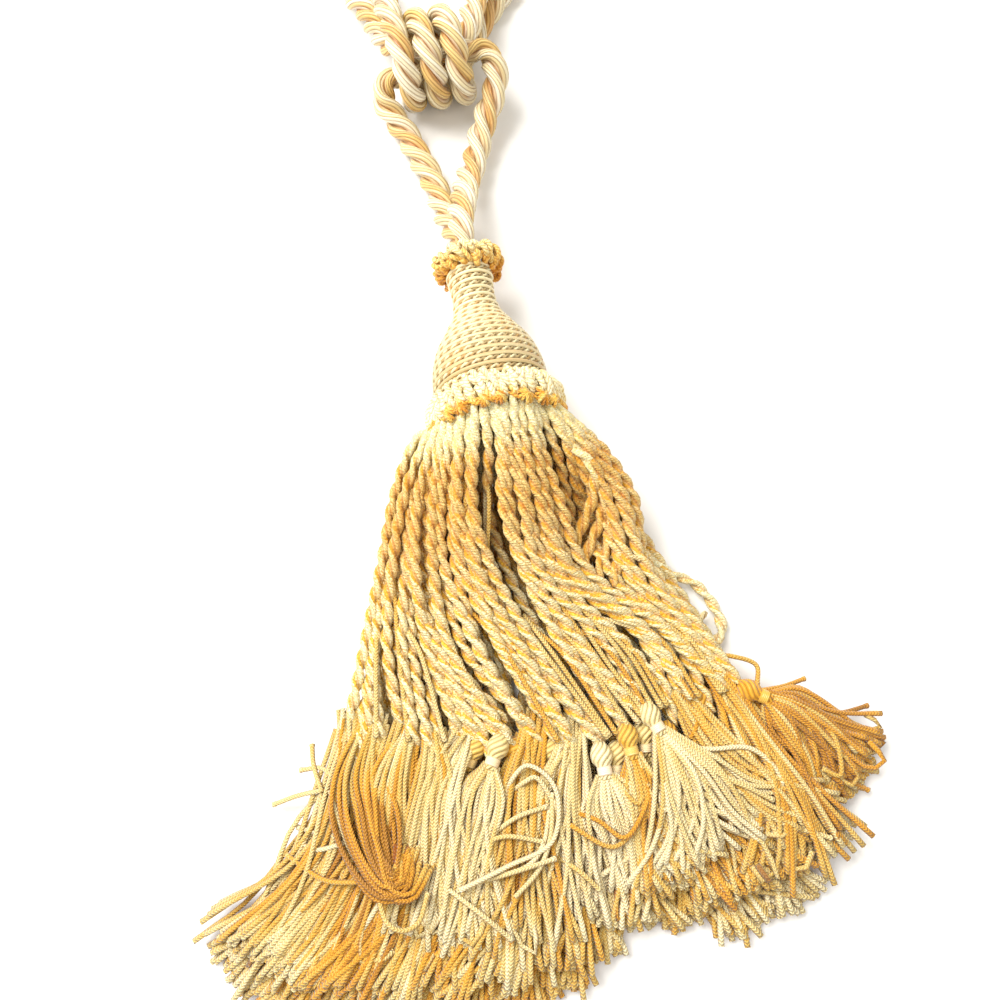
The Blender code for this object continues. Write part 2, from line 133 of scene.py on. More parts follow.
class Wire:
    """A number that runs between nodes. Arithmetic on it adds Math nodes."""

    def __init__(self, finish, socket):
        self.finish = finish
        self.socket = socket

    def math(self, operation, *values):
        node = self.finish.node("ShaderNodeMath", {"operation": operation}, dict(enumerate(values)))
        return Wire(self.finish, node.outputs[0])

    def __add__(self, other):
        return self.math("ADD", self, other)

    def __radd__(self, other):
        return self.math("ADD", other, self)

    def __sub__(self, other):
        return self.math("SUBTRACT", self, other)

    def __rsub__(self, other):
        return self.math("SUBTRACT", other, self)

    def __mul__(self, other):
        return self.math("MULTIPLY", self, other)

    def __rmul__(self, other):
        return self.math("MULTIPLY", other, self)

    def __truediv__(self, other):
        return self.math("DIVIDE", self, other)

    def __rtruediv__(self, other):
        return self.math("DIVIDE", other, self)

    def __gt__(self, other):
        return self.math("GREATER_THAN", self, other)

    def __lt__(self, other):
        return self.math("LESS_THAN", self, other)

    def __abs__(self):
        return self.math("ABSOLUTE", self)

    def floor(self):
        return self.math("FLOOR", self)

    def fraction(self):
        return self.math("FRACT", self)

    def sine(self):
        return self.math("SINE", self)

    def power(self, exponent):
        return self.math("POWER", self, exponent)

    def clamp(self):
        return self.math("MINIMUM", self.math("MAXIMUM", self, 0.0), 1.0)


class Finish:
    """One material and the nodes that feed its shader."""

    def __init__(self, name, roughness, sheen=0.0):
        self.material = bpy.data.materials.new(name)
        self.material.use_nodes = True
        self.tree = self.material.node_tree
        self.shader = self.tree.nodes["Principled BSDF"]
        self.feed(self.shader, {"Roughness": roughness, "Sheen Weight": sheen,
                                "Sheen Roughness": SHEEN_SPREAD})

    def feed(self, node, inputs):
        for key, value in inputs.items():
            if isinstance(value, Wire):
                value = value.socket
            if isinstance(value, bpy.types.NodeSocket):
                self.tree.links.new(value, node.inputs[key])
            else:
                node.inputs[key].default_value = value

    def node(self, kind, settings=None, inputs=None):
        """A node of a kind: first its settings, or a ramp's stops, then its sockets' values or links."""
        node = self.tree.nodes.new(kind)
        for key, value in (settings or {}).items():
            if key != "stops":
                setattr(node, key, value)
                continue
            stops = node.color_ramp.elements
            while len(stops) < len(value):
                stops.new(1.0)
            for stop, (place, colour) in zip(stops, value):
                stop.position = place
                stop.color = colour
        self.feed(node, inputs or {})
        return node

    def attribute(self, name, output):
        return self.node("ShaderNodeAttribute", {"attribute_name": name}).outputs[output]

    def follow_strand(self):
        """Cosine and sine of the angle round a strand, and the distance along it in millimetres."""
        parts = self.node("ShaderNodeSeparateXYZ", inputs={0: self.attribute("lay", "Vector")})
        self.strand = tuple(Wire(self, parts.outputs[axis]) for axis in range(3))
        return self.strand

    def tone(self):
        return Wire(self, self.attribute("tone", "Fac"))

    def noise(self, vector, detail, roughness=0.5):
        node = self.node("ShaderNodeTexNoise",
                         inputs={"Vector": vector, "Scale": 1.0, "Detail": detail, "Roughness": roughness})
        return Wire(self, node.outputs[0])

    def grain(self, around, lengthwise, detail=2.0, roughness=0.5):
        """Noise on a strand, with a scale round it and a scale along it."""
        cosine, sine, along = self.strand
        place = self.node("ShaderNodeCombineXYZ",
                          inputs={0: cosine * around, 1: sine * around, 2: along * lengthwise})
        return self.noise(place.outputs[0], detail, roughness)

    def patches(self, scale, detail=2.0):
        """Noise over a whole piece, from one strand to the next."""
        coordinates = self.node("ShaderNodeTexCoord")
        scaled = self.node("ShaderNodeMapping",
                           inputs={0: coordinates.outputs["Object"], "Scale": (scale,) * 3})
        return self.noise(scaled.outputs[0], detail)

    def ramp(self, factor, stops):
        return self.node("ShaderNodeValToRGB", {"stops": stops}, {0: factor}).outputs[0]

    def blend(self, factor, first, second, how="MIX"):
        node = self.node("ShaderNodeMix", {"data_type": "RGBA", "blend_type": how},
                         {0: factor, 6: first, 7: second})
        return node.outputs[2]

    # Multiplies a colour by a darker one. Most finishes use it for painted shade; the rope's filament
    # streaks are the yarn's own pattern.
    def shadow(self, factor, colour, shade):
        return self.blend(factor, colour, shade, "MULTIPLY")

    def done(self, colour, height, depth, roughness=None):
        bump = self.node("ShaderNodeBump", inputs={"Height": height, "Distance": depth, "Strength": 1.0})
        self.feed(self.shader, {"Base Color": colour, "Normal": bump.outputs[0]})
        if roughness is not None:
            self.feed(self.shader, {"Roughness": roughness})
        return self.material


def tint(red, green, blue):
    """Linear colour of a dyer's 0 to 255 shade."""
    return (*((level / 255.0) ** DISPLAY_GAMMA for level in (red, green, blue)), 1.0)


# ---- finishes ----

# Shades that a piece's tone runs through, from pale to deep
ROPE_SHADES = ((0.0, tint(246, 240, 220)), (0.32, tint(240, 226, 184)), (0.52, tint(230, 202, 136)),
               (0.7, tint(224, 184, 104)), (0.85, tint(228, 184, 124)), (1.0, tint(202, 150, 68)))
TAIL_SHADES = ((0.0, tint(240, 228, 184)), (0.25, tint(226, 206, 142)), (0.5, tint(218, 182, 92)),
               (0.7, tint(222, 164, 50)), (0.88, tint(210, 146, 36)), (1.0, tint(174, 120, 34)))
BAND_SHADES = ((0.0, tint(244, 226, 202)), (0.3, tint(240, 216, 166)), (0.6, tint(228, 182, 84)),
               (1.0, tint(214, 156, 60)))
GIMP_SHADES = ((0.0, tint(244, 236, 200)), (0.25, tint(240, 222, 160)), (0.45, tint(234, 196, 104)),
               (0.7, tint(226, 160, 54)), (1.0, tint(200, 118, 22)))
STITCH_SHADES = ((0.0, tint(236, 218, 168)), (0.4, tint(244, 206, 100)), (0.7, tint(238, 174, 56)),
                 (1.0, tint(220, 138, 26)))


def turns_round(cosine, sine):
    """Angle round a strand, from minus pi to pi."""
    return sine.math("ARCTAN2", sine, cosine)


def satin_rope_finish():
    """Rayon rope of three plies of satin yarns: two of cream yarns and one of gold and peach."""
    finish = Finish("satin_rope", 0.34, 0.1)
    cosine, sine, along = finish.follow_strand()
    turn = turns_round(cosine, sine) * (PLIES / (2 * math.pi)) + 0.5
    across = turn.fraction()
    yarn = across * PLY_YARNS + along * 0.1
    golden = turn.floor() < -0.5
    number = finish.node("ShaderNodeTexWhiteNoise", {"noise_dimensions": "1D"},
                         {"W": yarn.floor() * 1.37 + turn.floor() * 11.3})
    pick = Wire(finish, number.outputs["Value"])
    filament = finish.grain(26.0, 0.07)
    broad = finish.grain(1.5, 0.05)
    tone = pick * 0.5 + golden * 0.42 + (filament - 0.5) * 0.5 + (broad - 0.5) * 0.3
    shade = finish.ramp(tone.clamp(), ROPE_SHADES)
    ridge = abs(yarn.fraction() - 0.5) * 2.0
    # Painted shade in the gaps between the yarns of a ply.
    shade = finish.shadow(ridge.power(5.0) * 0.75, shade, tint(180, 130, 62))
    shade = finish.shadow(((filament - 0.55) * 5.0).clamp() * 0.5, shade, tint(206, 170, 110))
    # Painted shade in the valleys between the plies.
    valley_shade = (abs(across - 0.5) * 2.0).power(5.0)
    shade = finish.shadow(valley_shade * 0.85, shade, tint(190, 122, 50))
    return finish.done(shade, (1.0 - ridge * ridge) * 0.8 + filament * 0.4, 0.0005, 0.24 + filament * 0.25)


def bullion_finish():
    """Two-ply bullion: plies mottled with cream, tan and gold, with painted light where they leave the
    collar and painted shade further down and in the grooves.
    """
    finish = Finish("bullion_yarn", 0.5, 0.25)
    cosine, sine, along = finish.follow_strand()
    tone = finish.tone()
    fleck = finish.grain(3.6, 1.9, roughness=0.75)
    fleck = ((fleck - 0.5) * 4.8 + 0.42 + (tone - 0.4) * 0.4).clamp()
    patch = finish.grain(0.9, 0.28, detail=1.0)
    broad = finish.patches(55.0, detail=1.0)
    colour = finish.blend(fleck, tint(254, 244, 200), tint(230, 194, 104))
    flank = ((sine * cosine - 0.26) * 6.0 + (patch - 0.5) * 4.0 + (fleck - 0.5) * 0.8 + tone - 0.4).clamp()
    gold = finish.blend(fleck, tint(244, 196, 62), tint(208, 140, 16))
    colour = finish.blend(flank, colour, gold)
    # Darker peach from 12 to 64 mm along a cord: partly the cords' own peach tone, partly painted shade of
    # the pile's upper stretch.
    deep = ((along - 12.0) / 8.0).clamp() * ((64.0 - along) / 30.0).clamp() * (tone > 0.05)
    peach = finish.blend(fleck, tint(238, 202, 120), tint(204, 148, 48))
    peach = finish.blend((flank * 0.8 + (patch - 0.45) * 3.0).clamp(), peach, tint(216, 148, 32))
    colour = finish.blend(deep * (0.5 + broad * 0.8).clamp(), colour, peach)
    # Painted light: the cords are paler cream where they leave the collar and face the lamp.
    start = ((15.0 + (broad - 0.5) * 16.0 - along) / 9.0).clamp()
    pale = finish.blend(fleck, tint(255, 250, 212), tint(244, 222, 134))
    colour = finish.blend(start * 0.85, colour, pale)
    # Painted shade in the grooves between the two plies, with less of it where the cords leave the collar.
    groove_shade = ((0.5 - abs(cosine)) * 2.0).clamp() * (1.0 - start * 0.6)
    colour = finish.shadow(groove_shade * 0.75, colour, tint(206, 144, 58))
    stitch = (along + abs(sine) * 0.8).fraction()
    stitch = 1.0 - abs(stitch - 0.5) * 2.0
    return finish.done(colour, stitch * 0.6 + fleck * 0.4, 0.00034)


def chainette_finish(name, shades, stitch, painted_side_shade=0.0):
    """Knitted chainette: small stitches that meet in a row of chevrons along a strand, in its tone.

    stitch is a stitch's length in millimetres, and the last argument how dark the painted shade on a
    strand's sides and underside is.
    """
    finish = Finish(name, 0.55, 0.25)
    cosine, sine, along = finish.follow_strand()
    row = (along / stitch + abs(cosine) * 0.85).fraction()
    stitches = (1.0 - abs(row - 0.5) * 2.0).clamp()
    speckle = finish.grain(2.6, 1.2, roughness=0.6)
    broad = finish.patches(60.0, detail=1.0)
    # The tone deepens a little between the stitches: painted shade.
    tone = finish.tone() + (speckle - 0.5) * 0.55 + (broad - 0.5) * 0.4 + (0.5 - stitches) * 0.12
    shade = finish.ramp(tone.clamp(), shades)
    # Painted shade in the gaps between the stitches.
    gap_shade = ((0.34 - stitches) * 3.0).clamp()
    shade = finish.shadow(gap_shade * 0.85, shade, tint(190, 138, 64))
    # Painted shade on a strand's sides and underside.
    side = ((0.6 - sine) * 1.1).clamp()
    shade = finish.shadow(side * painted_side_shade, shade, tint(170, 118, 48))
    return finish.done(shade, stitches * 0.8 + speckle * 0.4, 0.00028)


def thread_finish():
    """Smooth wound thread with filaments that run along it."""
    finish = Finish("cream_thread", 0.36, 0.1)
    sine = finish.follow_strand()[1]
    filament = finish.grain(3.0, 0.15)
    broad = finish.patches(90.0)
    colour = finish.blend((filament * 0.6 + (broad - 0.4) * 0.6).clamp(),
                          tint(240, 230, 192), tint(226, 198, 132))
    # Painted shade on the side of the strand away from its top.
    edge = (0.3 - sine).clamp()
    colour = finish.shadow(edge * 0.6, colour, tint(190, 150, 90))
    return finish.done(colour, filament, 0.00012)


def fine_cord_finish():
    """A fine cord of two plies, one of cream thread and one of drab thread that is warm in places."""
    finish = Finish("fine_cord", 0.5, 0.15)
    cosine = finish.follow_strand()[0]
    broad = finish.patches(60.0)
    drab = ((cosine - 0.1) * 6.0).clamp()
    warm = finish.blend(((broad - 0.42) * 4.0).clamp(), tint(176, 152, 104), tint(214, 158, 84))
    colour = finish.blend(drab, tint(236, 222, 176), warm)
    # Painted shade in the groove between the two plies.
    groove_shade = ((0.35 - abs(cosine)) * 2.6).clamp()
    colour = finish.shadow(groove_shade * 0.8, colour, tint(150, 104, 52))
    return finish.done(colour, finish.grain(5.0, 0.4), 0.00012)


def knot_finish():
    """Cord knots: strands wound aslant round a ball, in the tone of their tassel."""
    finish = Finish("knot_weave", 0.5, 0.2)
    cosine, sine, along = finish.follow_strand()
    weave = abs((turns_round(cosine, sine) * 4.0 + along * 1.5).sine())
    speckle = finish.grain(2.6, 1.2)
    shade = finish.ramp((finish.tone() + (speckle - 0.5) * 0.4).clamp(), TAIL_SHADES)
    # Painted shade between the wound strands.
    shade = finish.shadow(((0.6 - weave) * 1.2).clamp(), shade, tint(222, 180, 120))
    return finish.done(shade, weave + speckle * 0.5, 0.0005)


def band_finish():
    """Satin binding under a knot, in the tone of its tassel."""
    finish = Finish("satin_band", 0.3, 0.1)
    along = finish.follow_strand()[2]
    turns = (along / 0.5).fraction()
    filament = finish.grain(1.5, 3.0)
    shade = finish.ramp((finish.tone() * 0.9 + (filament - 0.5) * 0.3).clamp(), BAND_SHADES)
    return finish.done(shade, filament * 0.3 - abs(turns - 0.5), 0.0002)


def mould_finish():
    finish = Finish("mould", 0.7)
    grain = finish.patches(400.0)
    return finish.done(finish.blend(grain, tint(196, 152, 88), tint(150, 104, 52)), grain, 0.0001)


# ---- strands ----

POINTS_BETWEEN = 12            # points of a smooth curve between two rows of its table


def distance_along(lines):
    steps = np.linalg.norm(np.diff(lines, axis=1), axis=2)
    return np.concatenate([np.zeros((len(lines), 1)), np.cumsum(steps, axis=1)], axis=1)


def evenly(curve, step=None, count=None):
    """The same curve with its points at even distances: about one step apart, or a given count."""
    gone = distance_along(curve[None, :, :3])[0]
    if count is None:
        count = round(gone[-1] / step) + 1
    wanted = np.linspace(0.0, gone[-1], count)
    return np.stack([np.interp(wanted, gone, column) for column in curve.T], axis=1)


def smooth_run(table, step=None, count=None):
    """Points at even distances on the centripetal Catmull-Rom curve through the table's rows."""
    rows = np.array(table, float)
    rows = np.vstack([2 * rows[0] - rows[1], rows, 2 * rows[-1] - rows[-2]])
    share = np.arange(POINTS_BETWEEN)[:, None] / POINTS_BETWEEN
    pieces = []
    for first, start, end, last in zip(rows, rows[1:], rows[2:], rows[3:]):
        knots = [0.0]
        for one, other in ((first, start), (start, end), (end, last)):
            knots.append(knots[-1] + max(np.linalg.norm(other[:3] - one[:3]), 1e-6) ** 0.5)
        at = knots[1] + (knots[2] - knots[1]) * share
        one = first + (start - first) * (at - knots[0]) / (knots[1] - knots[0])
        two = start + (end - start) * (at - knots[1]) / (knots[2] - knots[1])
        three = end + (last - end) * (at - knots[2]) / (knots[3] - knots[2])
        one = one + (two - one) * (at - knots[0]) / (knots[2] - knots[0])
        two = two + (three - two) * (at - knots[1]) / (knots[3] - knots[1])
        pieces.append(one + (two - one) * (at - knots[1]) / (knots[2] - knots[1]))
    return evenly(np.vstack(pieces + [rows[-2]]), step, count)


def carried_sides(lines, first_side=None):
    """Two unit vectors across every point of many lines, carried along them without twist."""
    ahead = unit(np.gradient(lines, axis=1))
    side = np.empty_like(lines)
    start = np.cross(ahead[:, 0], UP) if first_side is None else np.array(first_side)
    side[:, 0] = unit(start - ahead[:, 0] * np.sum(start * ahead[:, 0], axis=1, keepdims=True))
    for index in range(1, lines.shape[1]):
        carried = side[:, index - 1]
        heading = ahead[:, index]
        side[:, index] = unit(carried - heading * np.sum(carried * heading, axis=1, keepdims=True))
    return side, np.cross(side, ahead)


class Bundle:
    """Strands gathered into one mesh. Each point keeps its place round and along its own strand."""

    def __init__(self):
        self.points = []
        self.lay = []
        self.tones = []
        self.corners = []
        self.starts = []
        self.point_count = 0
        self.loop_count = 0

    def add(self, lines, round_angle, reach, tone, turn=0.0, flat=1.0, first_side=None):
        """Adds n lines of s points as tubes of p corners, at the given angles round the strand.

        reach is the distance to each corner and turn the twist at each point of a line. flat is the
        section's height as a share of its width.
        """
        lines = np.asarray(lines, float)
        count, sections, corners = lines.shape[0], lines.shape[1], len(round_angle)
        side, top = carried_sides(lines, first_side)
        angle = np.broadcast_to(round_angle, (count, sections, corners))
        turned = angle + np.broadcast_to(turn, (count, sections))[:, :, None]
        reach = np.broadcast_to(reach, (count, sections, corners))
        flat = np.broadcast_to(flat, (count, sections))[:, :, None]
        across = (np.cos(turned) * reach)[..., None] * side[:, :, None, :]
        upward = (np.sin(turned) * reach * flat)[..., None] * top[:, :, None, :]
        self.points.append((lines[:, :, None, :] + across + upward).reshape(-1, 3))
        along = np.broadcast_to(distance_along(lines)[:, :, None], angle.shape)
        self.lay.append(np.stack([np.cos(angle), np.sin(angle), along], axis=-1).reshape(-1, 3))
        tone = np.asarray(tone, float)
        tone = tone[:, :, None] if tone.ndim == 2 else tone.reshape(-1, 1, 1)
        self.tones.append(np.broadcast_to(tone, angle.shape).reshape(-1))
        grid = self.point_count + np.arange(count * sections * corners).reshape(count, sections, corners)
        beside = np.roll(grid, -1, axis=2)
        quads = np.stack([grid[:, :-1], grid[:, 1:], beside[:, 1:], beside[:, :-1]], axis=-1)
        self.add_faces(quads.reshape(-1, 4))
        self.add_faces(grid[:, 0])
        self.add_faces(grid[:, -1, ::-1])
        self.point_count += count * sections * corners

    def add_faces(self, faces):
        self.corners.append(faces.reshape(-1))
        self.starts.append(self.loop_count + np.arange(len(faces)) * faces.shape[1])
        self.loop_count += faces.size

    def make(self, name, material):
        mesh = bpy.data.meshes.new(name)
        mesh.vertices.add(self.point_count)
        mesh.vertices.foreach_set("co", to_metres(np.vstack(self.points)).astype(np.float32).ravel())
        mesh.loops.add(self.loop_count)
        mesh.loops.foreach_set("vertex_index", np.concatenate(self.corners).astype(np.int32))
        starts = np.concatenate(self.starts).astype(np.int32)
        mesh.polygons.add(len(starts))
        mesh.polygons.foreach_set("loop_start", starts)
        mesh.update(calc_edges=True)
        lay = mesh.attributes.new("lay", "FLOAT_VECTOR", "POINT")
        lay.data.foreach_set("vector", np.vstack(self.lay).astype(np.float32).ravel())
        tones = mesh.attributes.new("tone", "FLOAT", "POINT")
        tones.data.foreach_set("value", np.concatenate(self.tones).astype(np.float32))
        mesh.shade_smooth()
        mesh.materials.append(material)
        return put(name, mesh)


def spread_angles(corners):
    return np.arange(corners) * (2 * math.pi / corners)


def settle_piece(piece, node):
    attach(piece, "root")
    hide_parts(node)


def above(line, height):
    """The line with no point under a height over the table."""
    line[..., 2] = np.maximum(line[..., 2], height)
    return line


# ---- rope ----

ROPE_LAY = 26.0                # length of one full turn of the plies
ROPE_STEP = 1.08
PLIES = 3
PLY_CORNERS = 12
PLY_YARNS = 6
PLY_ROUNDNESS = 1.15
PLY_FULLNESS = 1.04
GOLD_PLY = 0.95                # the gold ply lies this much deeper than the cream ones
WRAP_RADIUS = 4.45             # the rope is pressed a little thinner in the knot

# Columns of every route table: x, y, height of the centreline, radius of the rope. A row that ends early
# goes on with these values, those of the rope where it lies flat on the table at its full radius
FLAT_ROPE = (4.8, 4.75)
LEFT_LEG = (
    (-10.5, 73.1, 16.8, 3.1), (-12.0, 80.9, 16.2, 3.3), (-14.4, 88.9, 12.9, 4.4), (-17.9, 99.4, 8.4),
    (-21.5, 110.6, 5.9), (-27.2, 124.4), (-33.3, 136.4, 4.9), (-39.6, 145.6, 6.8), (-42.2, 150.8, 9.6, 4.6),
    (-40.6, 154.8, 12.4, 4.2), (-36.6, 156.2, 13.7, 4.0), (-30.6, 156.9, 14.2, 3.9),
    (-24.2, 160.7, 13.5, 3.9), (-19.3, 164.1, 14.2, 3.9),
)
RIGHT_ARM_INNER = (
    (-12.9, 172.0, 16.2, 4.6), (-10.6, 180.7, 16.1), (-8.9, 191.0, 14.9), (-7.6, 201.2, 12.7),
    (-4.5, 213.4, 8.1), (2.0, 225.0, 5.2), (11.7, 245.4), (19.5, 268.0), (19.4, 296.3), (10.0, 321.5),
)
RIGHT_EYE = (
    (0.3, 330.7), (-10.6, 338.6), (-16.7, 348.8), (-14.2, 359.8), (-6.4, 364.6), (3.7, 362.8),
    (10.9, 353.4), (14.1, 340.4),
)
RIGHT_ARM_OUTER = (
    (18.7, 327.7), (30.1, 298.4), (30.5, 268.6), (21.9, 241.6), (13.0, 224.1), (4.7, 209.9), (-2.2, 198.0),
    (-7.2, 187.4), (-11.0, 177.6, 5.0, 4.6),
)
LEFT_ARM_INNER = (
    (-39.3, 170.4, 29.0, 4.6), (-41.1, 179.8, 25.5), (-43.8, 190.1, 19.9), (-46.5, 200.2, 14.0),
    (-50.0, 210.5, 9.0), (-55.7, 223.9, 5.6), (-64.6, 246.1, 4.9), (-69.5, 268.0), (-68.1, 296.4),
    (-59.0, 321.7),
)
LEFT_EYE = (
    (-49.6, 330.8), (-38.7, 338.8), (-32.8, 349.0), (-35.1, 359.3), (-43.4, 364.7), (-53.4, 362.7),
    (-60.5, 353.2), (-64.0, 340.1),
)
LEFT_ARM_OUTER = (
    (-68.5, 327.6), (-79.0, 297.8), (-80.3, 267.9), (-75.6, 242.9, 4.9), (-67.1, 220.5, 4.9),
    (-59.9, 207.3, 6.6), (-54.0, 195.5, 9.4), (-47.7, 183.9, 12.2), (-43.6, 174.6, 14.6, 4.6),
    (-40.2, 166.7, 17.2, 4.2), (-31.9, 161.7, 20.8, 3.9), (-24.7, 160.2, 21.8, 3.9),
    (-17.3, 159.7, 20.9, 3.9),
)
RIGHT_LEG = (
    (-7.3, 162.3, 19.8, 4.3), (-2.6, 159.3, 18.4, 4.6), (-1.8, 151.6, 14.7), (-3.8, 144.8, 11.7),
    (-7.2, 133.9, 8.1), (-9.9, 122.3, 7.6), (-11.8, 111.0, 11.2), (-12.7, 100.7, 17.3),
    (-12.7, 88.4, 22.8, 4.35), (-11.8, 81.0, 23.5, 3.35), (-10.5, 73.1, 23.3, 3.1),
)
KNOT_CENTRE = np.array((-24.8, 160.5, 17.6))
KNOT_TURN = math.radians(12)   # of the knot's axis away from +X
KNOT_COIL = 13.1               # from the knot's axis to the centreline of its wraps
KNOT_PITCH = 9.1
KNOT_FIRST_DEG = 1020          # the wraps start low at the right end and come off on top at the left
KNOT_LAST_DEG = 75
KNOT_STEP_DEG = 27


def knot_wraps():
    """The rope's turns round the knot, from low at the right end to the top of the left end."""
    along = np.array((math.cos(KNOT_TURN), math.sin(KNOT_TURN), 0.0))
    away = np.array((-math.sin(KNOT_TURN), math.cos(KNOT_TURN), 0.0))
    turns = []
    for degrees in range(KNOT_FIRST_DEG, KNOT_LAST_DEG - 1, -KNOT_STEP_DEG):
        angle = math.radians(degrees)
        station = KNOT_PITCH * ((degrees - 180) / 360 - 1)
        point = KNOT_CENTRE + along * station + (away * math.cos(angle) + UP * math.sin(angle)) * KNOT_COIL
        turns.append((*point, WRAP_RADIUS))
    return tuple(turns)


def rope_outline(angles):
    """Reach of the rope's skin at each angle round it."""
    turn = angles * PLIES / (2 * math.pi) + 0.5
    off_middle = (turn % 1.0 - 0.5) * 2 * math.pi / PLIES
    fullness = np.where(np.floor(turn) == PLIES - 1, GOLD_PLY, PLY_FULLNESS)
    return np.cos(off_middle) ** PLY_ROUNDNESS * fullness


def make_rope():
    table = (LEFT_LEG + RIGHT_ARM_INNER + RIGHT_EYE + RIGHT_ARM_OUTER + knot_wraps()
             + LEFT_ARM_INNER + LEFT_EYE + LEFT_ARM_OUTER + RIGHT_LEG)
    route = smooth_run([(*row, *FLAT_ROPE[len(row) - 2:]) for row in table], step=ROPE_STEP)
    line, radius = route[None, :, :3], route[:, 3]
    line = above(line, radius * PLY_FULLNESS + TABLE_GAP)
    gone = distance_along(line)
    angles = spread_angles(PLIES * PLY_CORNERS)
    reach = rope_outline(angles)[None, None, :] * radius[None, :, None]
    bundle = Bundle()
    bundle.add(line, angles, reach, 0.0, turn=gone * (2 * math.pi / ROPE_LAY), first_side=(1.0, 0.0, 0.0))
    rope = bundle.make("rope_twist", satin_rope_finish())
    settle_piece(rope, "rope")


# ---- head of the tassel ----

NECK = np.array((-10.8, 74.6, 20.0))         # middle of the neck's gimp
COLLAR = np.array((-1.3, 21.4, 22.0))        # middle of the collar
AXIS = unit(COLLAR - NECK)
SIDE = unit(to_left(AXIS))
TOP = np.cross(AXIS, SIDE)

# Columns: distance along the axis from the neck's gimp, radius
HEAD_PROFILE = (
    (2.0, 7.4),
    (5.0, 7.8),
    (9.5, 7.3),
    (13.1, 7.1),
    (19.4, 8.1),
    (25.6, 11.5),
    (32.1, 15.4),
    (38.1, 17.4),
    (44.6, 18.1),
    (49.8, 17.2),
)
WINDING_START = 1.5            # from the neck's end of the profile, along its slope
WINDING_PITCH = 2.75
POINTS_A_TURN = 90
THREAD_RADIUS = 0.62
THREAD_STEP = 1.2
FINE_CORD_RADIUS = 0.85
FINE_CORD_STEP = 0.42
FINE_CORD_LAY = 3.8
FINE_PLY_APART = 0.4
MOULD_DEPTH = 1.3              # of the mould's skin below the winding's
MOULD_SIDES = 48


def on_axis(station, radius=0.0, angle=0.0):
    """Points at stations on the tassel's axis, or at a radius and an angle round it."""
    station, radius, angle = (np.asarray(value, float)[..., None] for value in (station, radius, angle))
    return NECK + AXIS * station + (SIDE * np.cos(angle) + TOP * np.sin(angle)) * radius


def wound_line(shift, radius, step):
    """A line wound round the head, shifted along the slope. Its strand's skin lies in the profile."""
    slope = smooth_run([(station, reach, 0.0) for station, reach in HEAD_PROFILE], step=0.4)
    gone = distance_along(slope[None])[0]
    turns = (gone[-1] - WINDING_START) / WINDING_PITCH
    angle = np.linspace(0.0, turns * 2 * math.pi, round(turns * POINTS_A_TURN))
    at = np.clip(WINDING_START + shift + angle / (2 * math.pi) * WINDING_PITCH, 0.0, gone[-1])
    station = np.interp(at, gone, slope[:, 0])
    reach = np.interp(at, gone, slope[:, 1]) - radius
    return evenly(on_axis(station, reach, angle), step)


def two_ply_outline(angles, apart):
    """Reach of a two-ply cord's skin, as a share of its radius. So is apart, from its middle to a ply's."""
    return apart * np.abs(np.cos(angles)) + np.sqrt((1 - apart) ** 2 - (apart * np.sin(angles)) ** 2)


def make_mould():
    """The turned mould that shows between the turns."""
    bm = bmesh.new()
    slope = [(station, reach - MOULD_DEPTH) for station, reach in HEAD_PROFILE]
    outline = [(slope[0][0], 0.0), *slope, (slope[-1][0], 0.0)]
    verts = [bm.verts.new(to_metres(on_axis(*row))) for row in outline]
    edges = [bm.edges.new(pair) for pair in zip(verts, verts[1:])]
    bmesh.ops.spin(bm, geom=verts + edges, cent=to_metres(NECK), axis=AXIS, angle=2 * math.pi,
                   steps=MOULD_SIDES, use_merge=True, use_duplicate=False)
    bmesh.ops.remove_doubles(bm, verts=bm.verts, dist=1e-6)
    bmesh.ops.recalc_face_normals(bm, faces=bm.faces)
    mould = put_solid("head_mould", bm, mould_finish())
    mould.data.shade_smooth()
    return mould


def make_head():
    angles = spread_angles(8)
    thread, cord = Bundle(), Bundle()
    thread.add(wound_line(0.0, THREAD_RADIUS, THREAD_STEP)[None], angles, THREAD_RADIUS, 0.0)
    line = wound_line(WINDING_PITCH / 2, FINE_CORD_RADIUS, FINE_CORD_STEP)[None]
    cord.add(line, angles, two_ply_outline(angles, FINE_PLY_APART) * FINE_CORD_RADIUS, 0.0,
             turn=distance_along(line) * (2 * math.pi / FINE_CORD_LAY))
    for piece in (thread.make("head_thread", thread_finish()),
                  cord.make("head_fine_cord", fine_cord_finish()), make_mould()):
        settle_piece(piece, "head_winding")


# ---- gimps and stitches ----

# Rows of knitted loops round the tassel. Columns: station and ring of the row's middle; half its width
# along the axis; half its depth; how many loops go round; phase of the first; the strand's radius; its
# tone on top; how much deeper that is at the sides, as painted shade
NECK_GIMP = (
    (-1.4, 9.6, 1.5, 1.4, 15, 0.0, 0.85, 0.2, 0.35),
    (0.5, 10.2, 1.5, 1.4, 14, 0.4, 0.85, 0.3, 0.4),
    (2.4, 9.6, 1.3, 1.3, 16, 0.2, 0.75, 0.5, 0.25),
    (0.4, 9.2, 2.6, 1.0, 11, 0.7, 0.75, 0.25, 0.45),
    (1.4, 8.0, 2.4, 0.9, 13, 0.1, 1.1, 0.55, 0.25),
)
COLLAR_GIMP = (
    (50.4, 19.0, 1.4, 1.0, 37, 0.0, 0.9, 0.16, 0.15),
    (52.2, 19.8, 1.7, 1.1, 43, 0.5, 0.95, 0.08, 0.15),
    (54.0, 20.0, 1.8, 1.2, 34, 0.2, 0.95, 0.12, 0.15),
    (55.8, 20.0, 1.7, 1.2, 41, 0.9, 0.95, 0.1, 0.15),
    (57.2, 19.6, 1.2, 1.1, 31, 0.7, 0.95, 0.4, 0.15),
)
LOOP_SIZES = (0.45, 1.35)      # smallest and largest loop, as shares of the row's
LOOP_POINTS = 24
